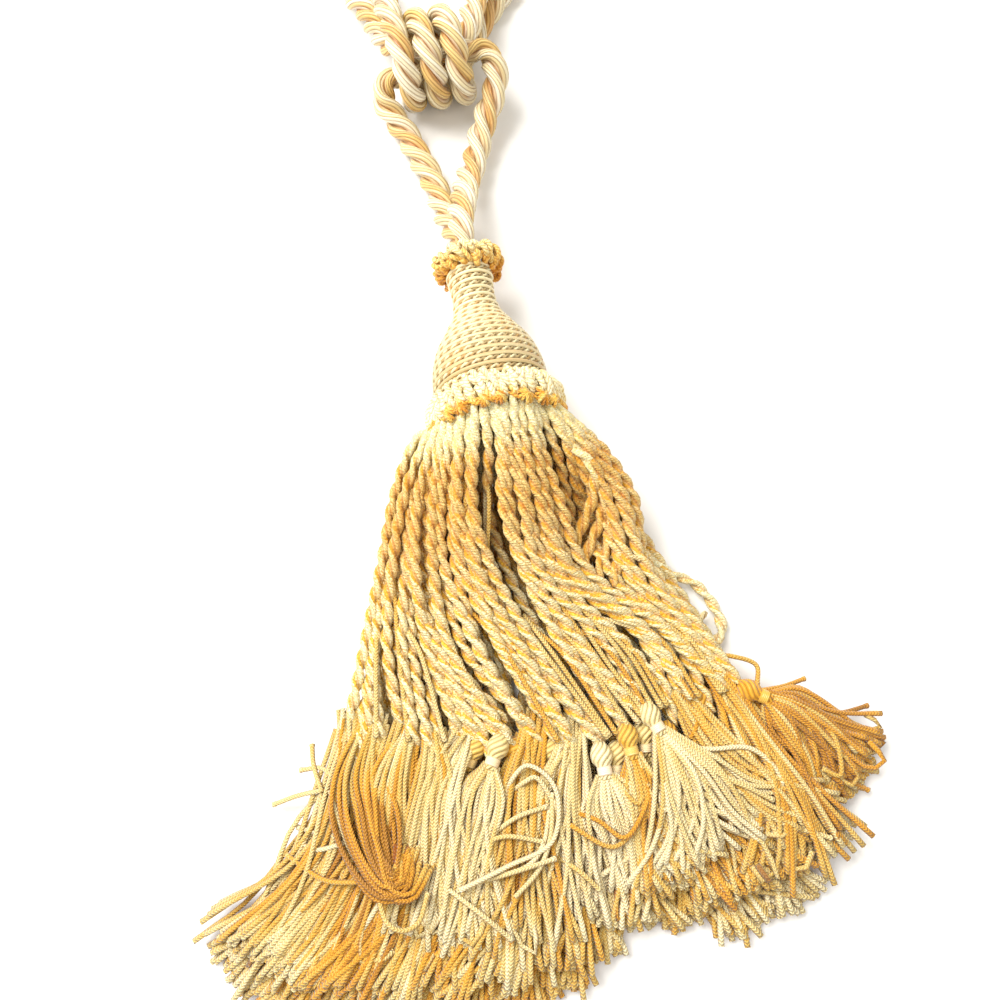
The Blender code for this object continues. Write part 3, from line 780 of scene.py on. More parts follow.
LOOP_UNEVEN = 3.0              # how far a loop's size shifts it round
LOOP_LEANS = 7                 # times that a row sways along the axis on its way round, and how far
LOOP_LEAN = 0.5
TRIM_CORNERS = 8
TRIM_GAP = 0.05                # between the table and the gimps and stitches


def looped_rows(bundle, rows, step, scatter):
    for station, ring, wide, deep, loops, phase, thick, tone, sides in rows:
        share = np.linspace(0.0, 1.0, loops * LOOP_POINTS)
        uneven = np.array([scatter.uniform(*LOOP_SIZES) for _ in range(loops + 1)])
        size = np.interp(share, np.linspace(0.0, 1.0, len(uneven)), uneven)
        minor = 2 * math.pi * (loops * share + phase) + size * LOOP_UNEVEN
        lean = np.sin(share * 2 * math.pi * LOOP_LEANS + scatter.uniform(0, 6)) * LOOP_LEAN
        place = station + wide * size * np.cos(minor) + lean
        reach = ring + deep * size * np.sin(minor)
        line = evenly(on_axis(place, reach, share * 2 * math.pi + phase), step)
        line = above(line, thick + TRIM_GAP)
        # Painted shade: the tone deepens as a loop lies lower on its ring, away from the top.
        height = (line - on_axis(station)) @ TOP / ring
        shade = tone + (1.0 - np.clip(height, 0.0, 1.0)) * sides
        bundle.add(line[None], spread_angles(TRIM_CORNERS), thick, shade[None])


def make_gimps(scatter):
    for name, slot, node, rows, step, stitch in (
            ("neck_gimp", "gold_gimp", "neck_ruff", NECK_GIMP, 0.7, 1.1),
            ("collar_gimp", "cream_gimp", "collar_ruff", COLLAR_GIMP, 0.9, 1.2)):
        bundle = Bundle()
        looped_rows(bundle, rows, step, scatter)
        settle_piece(bundle.make(name, chainette_finish(slot, GIMP_SHADES, stitch)), node)


STARS = 21
STAR_STATION = 58.8
STAR_RING = 20.9
STAR_POINTS = 5
STITCH_RADIUS = 0.5
STAR_REACH = 2.7
RUNNING_RADIUS = 0.45          # the running stitch's: radius, sway along the axis, depth under the stars
RUNNING_SWAY = 0.8
RUNNING_DEPTH = 0.3


def make_stitches(scatter):
    """Gold stitches that hold the cords under the collar: small stars, joined by a running stitch."""
    bundle = Bundle()
    stitches = []
    for star in range(STARS):
        middle = 2 * math.pi * (star + scatter.uniform(-0.2, 0.2)) / STARS
        for point in range(STAR_POINTS):
            lean = math.pi * (point + scatter.uniform(-0.2, 0.2)) / STAR_POINTS
            reach = STAR_REACH * scatter.uniform(0.7, 1.15)
            share = np.linspace(-1.0, 1.0, 7)
            station = STAR_STATION + share * reach * math.cos(lean)
            angle = middle + share * reach * math.sin(lean) / STAR_RING
            ring = STAR_RING + 0.8 - share ** 2 * 1.6 + scatter.uniform(-0.2, 0.2)
            stitches.append(above(on_axis(station, ring, angle), STITCH_RADIUS + TRIM_GAP))
    bundle.add(stitches, spread_angles(6), STITCH_RADIUS, [scatter.uniform(0.3, 0.9) for _ in stitches])
    share = np.linspace(0.0, 1.0, STARS * 16)
    wave = np.sin(share * 2 * math.pi * STARS)
    line = on_axis(STAR_STATION + RUNNING_SWAY * wave, STAR_RING - RUNNING_DEPTH, share * 2 * math.pi)
    bundle.add(above(line, STITCH_RADIUS)[None], spread_angles(6), RUNNING_RADIUS, 0.7)
    settle_piece(bundle.make("star_stitches", chainette_finish("gold_stitching", STITCH_SHADES, 1.2)),
                 "stitch_row")


# ---- skirt ----

CORD_RADIUS = 2.0
CORD_LAY = 12.4                # length of one full turn of its plies, which varies by these shares
LAY_VARIES = (0.92, 1.1)
CORD_SECTIONS = 100
CORD_CORNERS = 12
# How full a cord is: distances from the collar or the cord's end, then shares of its radius
FULL_FROM_COLLAR = ((0.0, 3.5, 8.0, 12.5, 18.0, 40.0), (0.55, 0.8, 0.95, 0.8, 0.92, 1.0))
FULL_SHIFT = (-2.5, 2.0)       # how far this varies along the cord, from one to the next
FULL_TO_END = ((0.0, 2.0, 6.0), (0.35, 0.75, 1.0))
LEAST_PLIES = 0.25             # how far its two plies show at its start
PLIES_BY = 12.0                # from here on they show in full
ROUND_REACH = 0.94             # reach of its round start, as a share of its radius
PLY_APART = 0.43               # a ply's middle from the cord's, as a share of its radius
BACKING_END = 57.5

# Where some cords on top of the pile pass, by their numbers from the left: x, y, height of the centreline
# at five stations down the skirt, the last of them the cord's knot
GUIDE_CORDS = (0, 2, 4, 5, 6, 8, 9, 10, 11, 13)
GUIDES = np.array((
    ((-25.2, 12.2, 22.0), (-32.2, -3.3, 20.0), (-36.6, -24.3, 16.5), (-40.4, -49.4, 13.5),
     (-44.2, -75.2, 12.3)),
    ((-19.9, 6.7, 29.5), (-23.7, -8.4, 25.8), (-26.6, -26.9, 20.8), (-28.1, -51.2, 15.8),
     (-29.3, -76.9, 12.6)),
    ((-12.0, 4.7, 33.8), (-12.3, -10.2, 29.6), (-11.1, -27.6, 23.5), (-9.9, -51.4, 16.8),
     (-10.6, -77.2, 12.8)),
    ((-6.7, 4.2, 35.2), (-7.0, -10.5, 30.5), (-4.1, -27.9, 24.5), (0.6, -51.5, 17.6), (0.0, -77.2, 13.0)),
    ((-0.3, 4.4, 35.5), (0.9, -10.1, 31.0), (4.4, -28.0, 25.0), (8.7, -51.6, 18.0), (10.0, -77.2, 13.0)),
    ((7.9, 5.1, 34.5), (11.4, -9.6, 29.6), (15.8, -27.7, 24.0), (22.4, -51.5, 17.3), (27.8, -77.2, 13.2)),
    ((12.9, 5.6, 33.0), (17.0, -9.1, 28.0), (22.0, -27.4, 22.8), (30.3, -50.8, 16.8), (36.2, -74.1, 13.2)),
    ((19.6, 6.2, 30.0), (24.5, -6.8, 16.0), (29.8, -27.0, 17.5), (38.7, -48.3, 15.6), (43.4, -68.8, 13.2)),
    ((24.4, 7.3, 29.5), (30.9, -5.8, 25.5), (36.1, -24.7, 20.5), (45.7, -46.4, 15.0), (55.2, -65.3, 12.8)),
    ((29.4, 11.0, 22.5), (40.8, -4.3, 19.5), (44.6, -22.4, 16.5), (55.4, -42.5, 13.2), (71.0, -61.8, 12.2)),
))
# How far the cords drift to the right on their way down: place among the guides at the knot, place at the
# collar, and the share of the way over that a cord has gone by the fourth station
DRIFT = np.array((
    (0.0, 0.0, 0.4),
    (5.2, 2.3, 0.4),
    (6.7, 3.75, 0.4),
    (8.0, 4.95, 0.4),
    (8.6, 5.5, 0.5),
    (9.0, 6.0, 0.55),
    (9.5, 6.3, 0.6),
    (10.3, 7.2, 0.75),
    (11.6, 8.8, 0.9),
    (13.0, 13.0, 0.9),
))
EARLY_DRIFT = 0.1              # that share at the third station
SLIT_PLACE = 5.5               # at the collar; the cords part here and show the dark inside of the skirt
SLIT_WIDTH = 0.28
SLIT_SINK = (0.5, 9.0, 9.0, 3.0, 0.0)
LAST_PLACE = 13.0              # the cord furthest right
# Two rows of cords that follow the guides
#   places: of the knots among the guides; ring, from_deg, to_deg: of the roots under the collar;
#   sink: how far the cords lie under the guides at each station
MIDDLE_ROW = {
    "places": (0.3, 1.0, 1.65, 2.3, 2.95, 3.6, 4.25, 4.8, 5.25, 5.8, 6.35, 6.85, 7.3, 7.75, 9.2, 9.7, 10.25,
               10.8, 11.2, 11.5, 11.85, 12.1, 12.35, 12.6, 12.85),
    "ring": 17.6, "from_deg": 172.0, "to_deg": 10.0, "sink": (1.8, 3.0, 3.1, 2.0, 1.5),
}
TOP_ROW = {
    "places": (0.0, 0.65, 1.3, 2.0, 2.65, 3.3, 4.0, 4.5, 5.0, 5.5, 6.0, 6.6, 7.0, 7.5, 8.0, 8.6, 9.0, 9.5,
               10.0, 10.5, 11.0, 11.35, 11.7, 12.0, 12.2, 12.4, 12.6, 12.8, 13.0),
    "ring": 19.4, "from_deg": 176.0, "to_deg": 4.0, "sink": (0.0, 0.0, 0.0, 0.0, 0.0),
}
ROOT_OFF = (-1.2, 0.6)         # how far a root lies off its ring
# At each station, how loosely a cord lies: sideways and in height
CORD_LOOSE = ((0.5, 0.5), (0.5, 0.6), (0.8, 0.7), (1.4, 0.7), (1.4, 0.2))
KNOT_OFF = (-2.0, 2.0)         # how far down or up the skirt a numbered cord ends off its last station
END_OFF = (-9.0, 6.0)          # and one between two numbered ones
GATHERED_FROM = 12.0           # cords right of this place end under the last knot,
GATHERED_BY = 0.6              # this share of the way over to it
GATHERED_SINK = 2.0
LAYERS = 3                     # in which cords lie below each other, left of CROWDED_TO
CROWDED_TO = 5.2
LAYER_SINK = (2.3, 2.3, 1.9, 0.9, 0.0)
UNDER_CORDS = 35               # every other one has a tassel
UNDER_RING = 14.0
UNDER_FROM_DEG = 186.0
UNDER_TO_DEG = 354.0
UNDER_KNOT_OFF = (-4, 4)       # how far down or up the skirt an under cord ends off the fan
UNDER_LEAVE = 12.0             # how far it heads out of the collar before it bends
UNDER_SPREAD = (1.2, 1.2, 0.0)            # how much further out than its root it lies by then
UNDER_DROP = 2.0
UNDER_POINTS = 16
UNDER_ARRIVE = 54.0            # and how far it runs straight to its knot
UNDER_SWAY = ((1.5, 3.0), (0.0, 6.0), (0.3, 1.2))         # limits of its half waves, phase and size
UNDER_SWAY_WAY = np.array((1.0, 0.3, 0.0))
CORD_FLOOR = 2.95              # height of the centreline of a cord that lies on the table
# Where the end of a top cord sinks in under the tails: distances from its end, depths
CORD_DIP = ((0.0, 3.0, 9.0), (4.0, 2.4, 0.0))
# Tones of the cords in each row; those of the top row are deeper from one place on to the right. The under
# and middle rows are deeper than the top row as painted shade, for the shade they lie in beneath it
UNDER_CORD_TONE = 0.55
MIDDLE_CORD_TONES = (0.4, 0.8)
TOP_CORD_TONES = (0.15, 0.55)
DEEPER_FROM = 10.5
DEEPER_BY = 0.16

# The fan of tails, in even steps from its left edge to its right: where knots and tips lie
#   columns: knot x, knot y, tip x, tip y, how far the tails bend to their left on the way
FAN = np.array((
    (-43.0, -79.0, -73.0, -137.0, 6.0),
    (-35.0, -88.0, -63.0, -145.0, 5.0),
    (-21.0, -93.0, -44.0, -149.0, 3.0),
    (-5.0, -95.0, -18.0, -150.0, 0.0),
    (13.0, -94.0, 14.0, -144.0, 0.0),
    (33.0, -89.0, 42.0, -125.0, 0.0),
    (54.0, -78.0, 78.0, -125.0, -2.0),
    (72.0, -60.0, 107.0, -86.0, -3.0),
))
# Tassels of the two lower rows: tone of each from the left, 0 ivory to 1 deep gold
UNDER_TONES = (0.5, 0.44, 0.5, 0.78, 0.82, 0.6, 0.74, 0.5, 0.76, 0.7, 0.72, 0.4, 0.45, 0.5, 0.4, 0.25, 0.3,
               0.7)
MIDDLE_TONES = (0.44, 0.46, 0.76, 0.8, 0.5, 0.7, 0.4, 0.64, 0.3, 0.3, 0.66, 0.74, 0.76)

# Tassels of the top row, from the left
#   tone: one, or several along the tails; tails: how many; fan_deg: how far the outer ones turn away;
#   knot: the knot shows; curl: share of the tails with curled ends; route: where the middle of the tails
#   passes after the knot; wide: half their spread there
Tassel = namedtuple("Tassel", "tone tails fan_deg knot curl route wide")
CURL = 0.04                    # in most tassels
TOP_TASSELS = (
    Tassel(0.42, 56, 6, False, CURL, ((-44.9, -91.4, 10.5), (-51.0, -113.0, 8.5), (-68.0, -134.0, 5.0)),
           (2.8, 5.0, 6.4)),
    Tassel((0.35, 0.5, 0.66, 0.84, 0.98, 0.9, 0.7), 50, 0, False, CURL, ((-39.1, -86.9, 12.5),
            (-38.1, -96.7, 13.2), (-34.8, -107.8, 14.0), (-30.7, -115.0, 13.7), (-26.6, -115.1, 13.2),
            (-24.1, -107.4, 12.5)), (5.6, 5.8, 4.2, 2.6, 2.2, 3.0)),
    Tassel((0.4, 0.5, 0.7, 0.8, 0.6), 56, 10, False, CURL, ((-30.7, -84.4, 13.0), (-34.1, -101.1, 11.0),
            (-43.3, -121.0, 8.0), (-55.0, -138.0, 5.5)), (3.0, 4.0, 5.5, 7.0)),
    Tassel(0.4, 53, 6, False, 0.4, ((-18.1, -85.0, 13.5), (-20.1, -99.1, 12.0), (-24.3, -115.4, 9.0),
            (-31.0, -135.0, 6.0)), (3.4, 4.2, 5.2, 6.4)),
    Tassel(0.24, 49, 4, False, 0.3, ((-16.3, -90.4, 14.0), (-17.9, -106.4, 11.5), (-18.8, -127.3, 8.0)),
           (3.7, 4.3, 5.6)),
    Tassel(0.24, 49, 6, True, 0.15, ((-5.6, -91.8, 14.0), (-7.8, -109.0, 11.5), (-8.2, -131.1, 8.0)),
           (3.7, 4.7, 6.2)),
    Tassel(0.55, 49, 8, False, CURL, ((5.6, -93.1, 13.5), (5.6, -111.7, 11.0), (3.3, -129.8, 8.0)),
           (3.7, 4.7, 6.2)),
    Tassel(0.1, 56, 8, False, CURL, ((17.5, -90.4, 14.0), (16.2, -106.4, 11.5), (13.8, -123.5, 8.0)),
           (4.0, 5.3, 6.8)),
    Tassel(0.07, 56, 4, True, CURL, ((31.1, -93.1, 14.5), (34.1, -103.8, 12.0), (37.3, -116.5, 8.5)),
           (5.0, 4.7, 5.6)),
    Tassel(0.6, 53, 6, True, CURL, ((40.0, -90.4, 14.0), (43.0, -106.4, 11.0), (48.0, -115.7, 8.5)),
           (3.1, 4.3, 6.2)),
    Tassel(0.16, 87, 38, True, CURL, ((53.0, -86.4, 15.0), (57.8, -98.5, 12.5), (60.6, -107.0, 9.8)),
           (3.7, 4.3, 5.0)),
    Tassel(0.6, 49, 10, False, CURL, ((64.3, -80.8, 13.0), (74.3, -91.7, 11.5), (85.1, -99.0, 9.0)),
           (2.5, 3.7, 5.6)),
    Tassel(0.62, 53, 14, False, CURL, ((73.9, -76.6, 12.5), (81.6, -93.1, 10.5), (85.3, -109.7, 7.0)),
           (2.8, 4.3, 6.2)),
    Tassel(0.78, 95, 23, True, CURL, ((83.0, -67.0, 12.5), (93.5, -76.5, 9.5), (101.0, -86.0, 6.0)),
           (2.8, 3.7, 4.3)),
)
HIDDEN_FROM = 13.0             # a single tail that starts this high comes out from under others,
SINGLE_DEPTH = 3.5             # and starts this much lower
SINGLE_LOOSE = 0.9
# Single tails in the grooves between the top cords: place among the guides, how many side by side
GROOVE_TAILS = ((1.0, 1), (2.3, 1), (3.6, 1), (5.3, 1), (6.8, 1), (8.5, 3), (9.3, 2), (9.8, 3), (10.3, 3),
                (11.2, 3), (12.2, 2))
GROOVE_STEP = 0.17             # from one place to the next
GROOVE_TONES = (0.3, 0.62)
GROOVE_START = (0.5, 2.0)      # from the second station, in steps to the third
GROOVE_LOOSE = 1.0
GROOVE_POINTS = 26
GROOVE_DEPTH = 3.0             # of a tail's hidden start
GROOVE_RAISE = (0.6, 1.0)      # over the guides, further down
# Single tails that have strayed or curled: tone and route
LOOSE_TAILS = (
    (0.3, ((-35.2, -112.0, 14.0), (-31.4, -122.9, 14.5), (-27.0, -128.2, 14.0), (-21.6, -125.7, 14.0),
            (-19.7, -117.2, 13.0))),
    (0.05, ((-16.4, -115.1, 14.0), (-5.4, -122.2, 14.0), (3.5, -129.5, 11.0))),
    (0.12, ((1.4, -93.1, 13.5), (3.9, -87.2, 15.5), (8.4, -83.7, 16.5), (12.6, -85.6, 16.5),
            (14.8, -93.1, 16.0), (12.4, -104.2, 15.0), (1.4, -111.0, 14.5), (-11.0, -116.7, 13.5))),
    (0.3, ((2.2, -91.8, 14.0), (6.2, -89.1, 16.0), (11.2, -87.8, 16.5), (15.6, -94.5, 15.0))),
    (0.08, ((-6.0, -114.1, 14.0), (7.7, -109.9, 14.5), (12.4, -106.3, 14.5), (14.0, -94.7, 14.5))),
    (0.2, ((-6.6, -115.1, 14.0), (5.5, -112.0, 15.0), (15.5, -108.4, 14.0))),
    (0.1, ((4.1, -118.5, 12.5), (10.4, -112.5, 14.0), (13.0, -103.2, 15.0), (14.6, -91.0, 15.5))),
    (0.1, ((-8.3, -106.3, 13.5), (1.4, -101.6, 15.0), (12.5, -104.2, 14.5))),
    (0.1, ((-5.5, -105.0, 14.0), (5.5, -99.0, 15.5), (13.4, -94.7, 15.0))),
    (0.6, ((13.5, -94.7, 14.0), (26.4, -96.3, 15.5), (32.6, -103.2, 15.5), (38.8, -99.0, 15.5),
            (42.1, -90.4, 15.0), (39.9, -80.0, 14.0))),
    (0.55, ((14.8, -96.3, 14.0), (20.8, -101.1, 15.0), (30.4, -105.8, 14.5), (37.8, -101.1, 14.0))),
    (0.6, ((15.2, -107.7, 13.0), (22.0, -111.0, 14.0), (27.5, -116.7, 12.5))),
    (0.1, ((47.4, -85.6, 15.0), (44.1, -93.1, 15.5), (46.2, -96.3, 15.5), (49.8, -93.1, 15.0),
            (52.0, -85.0, 14.5))),
    (0.62, ((36.3, -85.0, 14.0), (35.8, -91.0, 15.5), (38.6, -92.3, 15.5), (40.8, -87.8, 15.0))),
    (0.1, ((-50.5, -90.9, 12.0), (-53.2, -84.8, 9.5), (-55.0, -77.4, 7.0))),
    (0.35, ((-46.1, -88.2, 12.0), (-51.2, -84.3, 10.0), (-58.1, -84.7, 7.0))),
    (0.2, ((-50.7, -90.4, 11.0), (-57.6, -91.6, 7.0), (-66.1, -94.3, 3.0))),
    (0.1, ((-42.0, -101.1, 12.0), (-48.6, -100.1, 10.0), (-57.9, -100.4, 7.0))),
    (0.12, ((-41.3, -103.8, 12.0), (-49.1, -105.9, 10.0), (-57.4, -104.4, 7.0))),
    (0.6, ((-38.1, -114.7, 12.0), (-48.5, -114.2, 11.0), (-60.4, -107.6, 8.0))),
    (0.12, ((-48.1, -90.4, 12.5), (-46.3, -97.1, 13.0), (-41.1, -106.4, 13.0), (-35.9, -112.1, 12.5))),
    (0.78, ((76.6, -62.3, 12.0), (84.1, -60.9, 10.0), (91.1, -58.2, 7.0))),
    (0.8, ((77.4, -63.2, 12.0), (86.9, -62.1, 10.0), (94.3, -64.7, 7.0))),
    (0.75, ((91.6, -67.8, 9.0), (100.8, -68.6, 6.0), (110.5, -65.7, 3.0))),
    (0.8, ((95.9, -77.8, 9.0), (102.5, -79.6, 6.0), (109.7, -82.5, 3.0))),
    (0.78, ((97.1, -83.3, 8.0), (102.5, -88.3, 5.0), (107.9, -90.2, 3.0))),
    (0.78, ((88.1, -62.2, 11.0), (97.0, -76.5, 10.5), (98.6, -79.8, 10.5), (97.2, -84.3, 10.0),
            (92.6, -84.3, 10.0))),
    (0.1, ((48.0, -75.4, 14.5), (56.9, -77.9, 15.0), (69.7, -79.5, 14.5), (76.7, -84.4, 13.5),
            (80.5, -88.8, 12.5))),
    (0.12, ((49.0, -77.3, 15.0), (59.9, -85.0, 15.0), (69.0, -88.3, 14.5), (77.3, -93.1, 12.5))),
    (0.72, ((69.5, -68.8, 13.0), (78.4, -82.2, 13.0), (84.8, -93.1, 12.0), (88.8, -103.8, 9.5))),
    (0.75, ((75.0, -65.3, 13.0), (85.7, -82.2, 12.5), (90.5, -95.8, 11.0), (95.5, -103.3, 9.0))),
    (0.78, ((67.5, -75.2, 13.0), (74.1, -84.9, 12.5), (80.4, -96.3, 11.5))),
    (0.4, ((78.5, -100.6, 10.0), (84.6, -101.1, 10.0), (93.8, -103.3, 9.0))),
    (0.74, ((58.9, -51.5, 13.5), (68.3, -51.6, 11.0), (74.3, -55.6, 9.5), (75.6, -60.8, 11.0))),
    (0.6, ((55.2, -65.3, 13.0), (56.7, -72.5, 13.5), (54.6, -76.1, 13.0))),
)
# Strands inside the slit and the hollow on the right of the skirt
INNER_STRANDS = (
    (0.5, ((30.5, -23.5, 20.0), (37.2, -24.0, 21.0), (41.7, -24.9, 19.5))),
    (0.3, ((-3.8, 2.8, 29.0), (-3.3, -8.4, 26.0), (-3.3, -20.9, 21.0), (-0.9, -27.8, 20.0))),
    (0.62, ((-4.7, 2.1, 30.5), (-4.4, -9.3, 28.0), (-3.8, -25.8, 22.5))),
    (0.55, ((-10.0, 0.3, 31.5), (-10.0, -9.1, 29.5), (-9.4, -25.7, 24.0), (-6.5, -36.8, 20.5))),
    (0.62, ((-11.2, 0.3, 31.0), (-11.5, -9.1, 29.0), (-10.6, -25.7, 23.5))),
)
# Cords that curl inside the hollow
INNER_CORDS = (
    ((20.0, 8.0, 30.0), (26.5, 2.8, 28.0), (28.2, -5.0, 24.0), (24.6, -14.6, 21.0), (20.9, -24.2, 19.5)),
    ((24.0, 5.0, 27.0), (30.0, -2.4, 24.0), (30.2, -11.7, 21.0), (26.0, -22.5, 19.0), (24.5, -30.0, 18.5)),
    ((27.0, -1.0, 23.0), (33.2, -10.0, 21.0), (32.4, -19.7, 19.5), (29.0, -29.0, 18.5),
     (31.0, -36.0, 18.0)),
    ((30.0, -8.0, 20.0), (36.2, -16.4, 19.5), (35.0, -24.8, 19.0), (33.7, -33.0, 18.5)),
)
# One cord that has slipped out on the right and curled back, and the tones of it and the inner ones
STRAY_CORD = ((45.1, -21.1, 9.0), (52.3, -25.2, 5.0), (60.8, -28.6, 3.2), (66.3, -35.5, 2.6),
              (68.3, -43.0, 2.6), (65.6, -46.4, 2.6), (62.0, -44.6, 2.6), (61.6, -40.2, 2.6),
              (63.4, -37.6, 4.6))
CURLED_TONES = (0.0, 0.8, 0.7, 0.8, 0.75)

# Past a cord's end: its ball knot and the neck of the binding
KNOT_PROFILE = np.array((
    (-1.5, 1.6), (-0.4, 2.4), (0.8, 3.0), (2.2, 3.25), (3.6, 3.0), (4.8, 2.3), (5.6, 1.8), (7.8, 1.8),
    (9.0, 2.0),
))
KNOT_FLAT = 0.9
KNOT_CORNERS = 12
BAND_PAST = (5.4, 7.9)         # the binding's ends
BAND_RADIUS = 2.15
TAIL_PAST = 7.4                # the tails start inside the binding
TAIL_RADIUS = 0.75
TAIL_FLAT = 0.75
TAIL_CORNERS = 5
FRAY = 1.2                     # a cut end is this much wider
TAIL_FLOOR = TAIL_RADIUS * TAIL_FLAT * FRAY + TABLE_GAP
TONE_LOOSE = 0.15              # how far a tail's tone strays from its tassel's
# A tassel's tails stray from its own shape: in length, in how they bow and splay and in place; and the
# share of them that splay FAR times as far
PLAIN_LOOSE = {"long": 0.035, "bow": 3.0, "splay": 2.2, "place": 0.15, "far": 0.05}
TOP_LOOSE = {"long": 0.06, "bow": 2.4, "splay": 1.8, "place": 0.18, "far": 0.1}
FAR = 3
# Tassels of the two lower rows: tails in each, half their room, height of the pile and of its underside
TAILS_EACH = 54
UNDER_ROOM = 5.8
MIDDLE_ROOM = 6.8
PILE_HEIGHT = 3.4
MIDDLE_BASE = 4.2
# A middle tassel's knot: how far it lies off its guide in x and y and under it, and its tips under it and
# short of the fan's
MIDDLE_OFF = ((-2, 2), (-7, 2))
MIDDLE_SINK = 2.5
MIDDLE_FALL = 3.0
MIDDLE_SHORT = 8.0
PLAIN_WAVER = 0.6
PLAIN_FALL = 1.6               # how fast a tail comes down to its place in the pile
PLAIN_POINTS = 12
PLAIN_BOUND = (1.2, 1.8)       # half the width of such a tassel in its binding, and its height there
# Columns: share of the way from the binding to the tip; shares of the room and of the bow there
PLAIN_STATIONS = ((0.16, 0.46, 0.2), (0.42, 0.76, 1.0), (0.72, 0.92, 0.6), (1.0, 1.05, -0.4))
TOP_CROWN = (0.8, 1.5, 1.6, 1.5, 1.4, 1.2, 1.1, 1.0)      # half the height of a top tassel at each station
BOUND_WIDTH = 1.4              # half the width of the tails where the binding holds them
HIDDEN_WIDTH = 2.6             # and where they start under the cords
HIDDEN_DEPTH = 1.6
HIDDEN_SHIFT = (-8.0, 1.0)     # along the tassel, from one tail to the next
HIDDEN_ASIDE = 1.0
TOP_WAVER = 0.4
TOP_BOW_WAVES = 1.3            # half waves that a bowed tail makes
# A curled end: how far it turns aside and back, and its rise at its two points
CURL_ASIDE = (2.5, 4.5)
CURL_BACK = (4.0, 10.0)
CURL_RISE = (0.6, 0.4)
CROSSING = 0.8                 # how far a tail may cross over by its tip, as a share of the spread
TIP_PALER = 0.12               # taken from a tail's tone at its cut end


def fan_at(across):
    """The fan's columns at any place across it, on a smooth curve through the table's rows."""
    rows = np.vstack([2 * FAN[0] - FAN[1], FAN, 2 * FAN[-1] - FAN[-2]])
    place = min(max(across, 0.0), 1.0) * (len(FAN) - 1)
    index = min(int(place), len(FAN) - 2)
    part = place - index
    before, start, end, after = rows[index:index + 4]
    return (2 * start + (end - before) * part + (2 * before - 5 * start + 4 * end - after) * part ** 2
            + (3 * start - before - 3 * end + after) * part ** 3) / 2


def guide_stations(place):
    """The stations of a cord at any place among the guides."""
    columns = GUIDES.reshape(len(GUIDES), -1).T
    return np.array([np.interp(place, GUIDE_CORDS, column) for column in columns]).reshape(GUIDES.shape[1:])


def drifted(place):
    """Place at the collar and the stations of a cord whose knot is at the given place."""
    upper, gone_over = (np.interp(place, DRIFT[:, 0], DRIFT[:, column]) for column in (1, 2))
    stations = guide_stations(upper)
    for index, share in ((2, EARLY_DRIFT), (3, gone_over), (4, 1.0)):
        stations[index] = guide_stations(upper + (place - upper) * share)[index]
    return upper, stations


def guided_cord(row, number, scatter):
    """One cord of an upper row, from its root in the collar to its knot."""
    place = row["places"][number]
    upper, stations = drifted(place)
    degrees = row["from_deg"] + (row["to_deg"] - row["from_deg"]) * upper / LAST_PLACE
    root = on_axis(BACKING_END, row["ring"] + scatter.uniform(*ROOT_OFF), math.radians(degrees))
    near_slit = max(0.0, 1.0 - abs(upper - SLIT_PLACE) / SLIT_WIDTH)
    layer = number % LAYERS if place < CROWDED_TO else 0
    stations[:, 2] -= np.array(row["sink"]) + np.array(SLIT_SINK) * near_slit + np.array(LAYER_SINK) * layer
    for station, (wide, high) in zip(stations, CORD_LOOSE):
        station += (scatter.gauss(0, wide), 0.0, scatter.gauss(0, high))
    stations[-1, 1] += scatter.uniform(*(KNOT_OFF if place == int(place) else END_OFF))
    if GATHERED_FROM < place < LAST_PLACE:
        last = guide_stations(LAST_PLACE)[-1]
        stations[-1] += (last - stations[-1]) * GATHERED_BY - UP * GATHERED_SINK
    return smooth_run(np.vstack([root, stations]), count=CORD_SECTIONS)


def under_cord(across, scatter):
    """One cord of the lowest row, which comes down to the table."""
    knot_x, knot_y, tip_x, tip_y, bend = fan_at(across)
    knot = np.array((knot_x, knot_y + scatter.uniform(*UNDER_KNOT_OFF), CORD_FLOOR))
    foot = on_axis(BACKING_END)
    degrees = UNDER_FROM_DEG + (UNDER_TO_DEG - UNDER_FROM_DEG) * across
    root = on_axis(BACKING_END, UNDER_RING, math.radians(degrees))
    leave = root + AXIS * UNDER_LEAVE + (root - foot) * UNDER_SPREAD
    leave[2] = max(CORD_FLOOR, root[2] - UNDER_DROP)
    arrive = knot + unit(np.array((leave[0], leave[1], CORD_FLOOR)) - knot) * UNDER_ARRIVE
    share = np.linspace(0.0, 1.0, UNDER_POINTS)[:, None]
    rest = 1.0 - share
    curve = root * rest ** 3 + leave * (3 * rest * rest * share)
    curve += arrive * (3 * rest * share * share) + knot * share ** 3
    waves, phase, size = (scatter.uniform(*limits) for limits in UNDER_SWAY)
    sway = np.sin(share * math.pi * waves + phase) * size
    curve = curve + sway * share * rest * 4 * UNDER_SWAY_WAY
    return smooth_run(curve, count=CORD_SECTIONS), np.array((tip_x, tip_y, CORD_FLOOR)), bend


def strayed(number, count, loose, scatter):
    """Place across a tassel, -1 to 1, length, bow and splay of one of its tails."""
    place = (number + 0.5) / count * 2 - 1 + scatter.uniform(-loose["place"], loose["place"])
    long = 1 + scatter.gauss(0, loose["long"])
    bow, splay = scatter.gauss(0, loose["bow"]), scatter.gauss(0, loose["splay"])
    return place, long, bow, splay


def level_of(number, count):
    """Height of a tail in its pile, 0 to 1. Neighbours lie at different heights."""
    return ((number * 7) % count) / (count - 1)


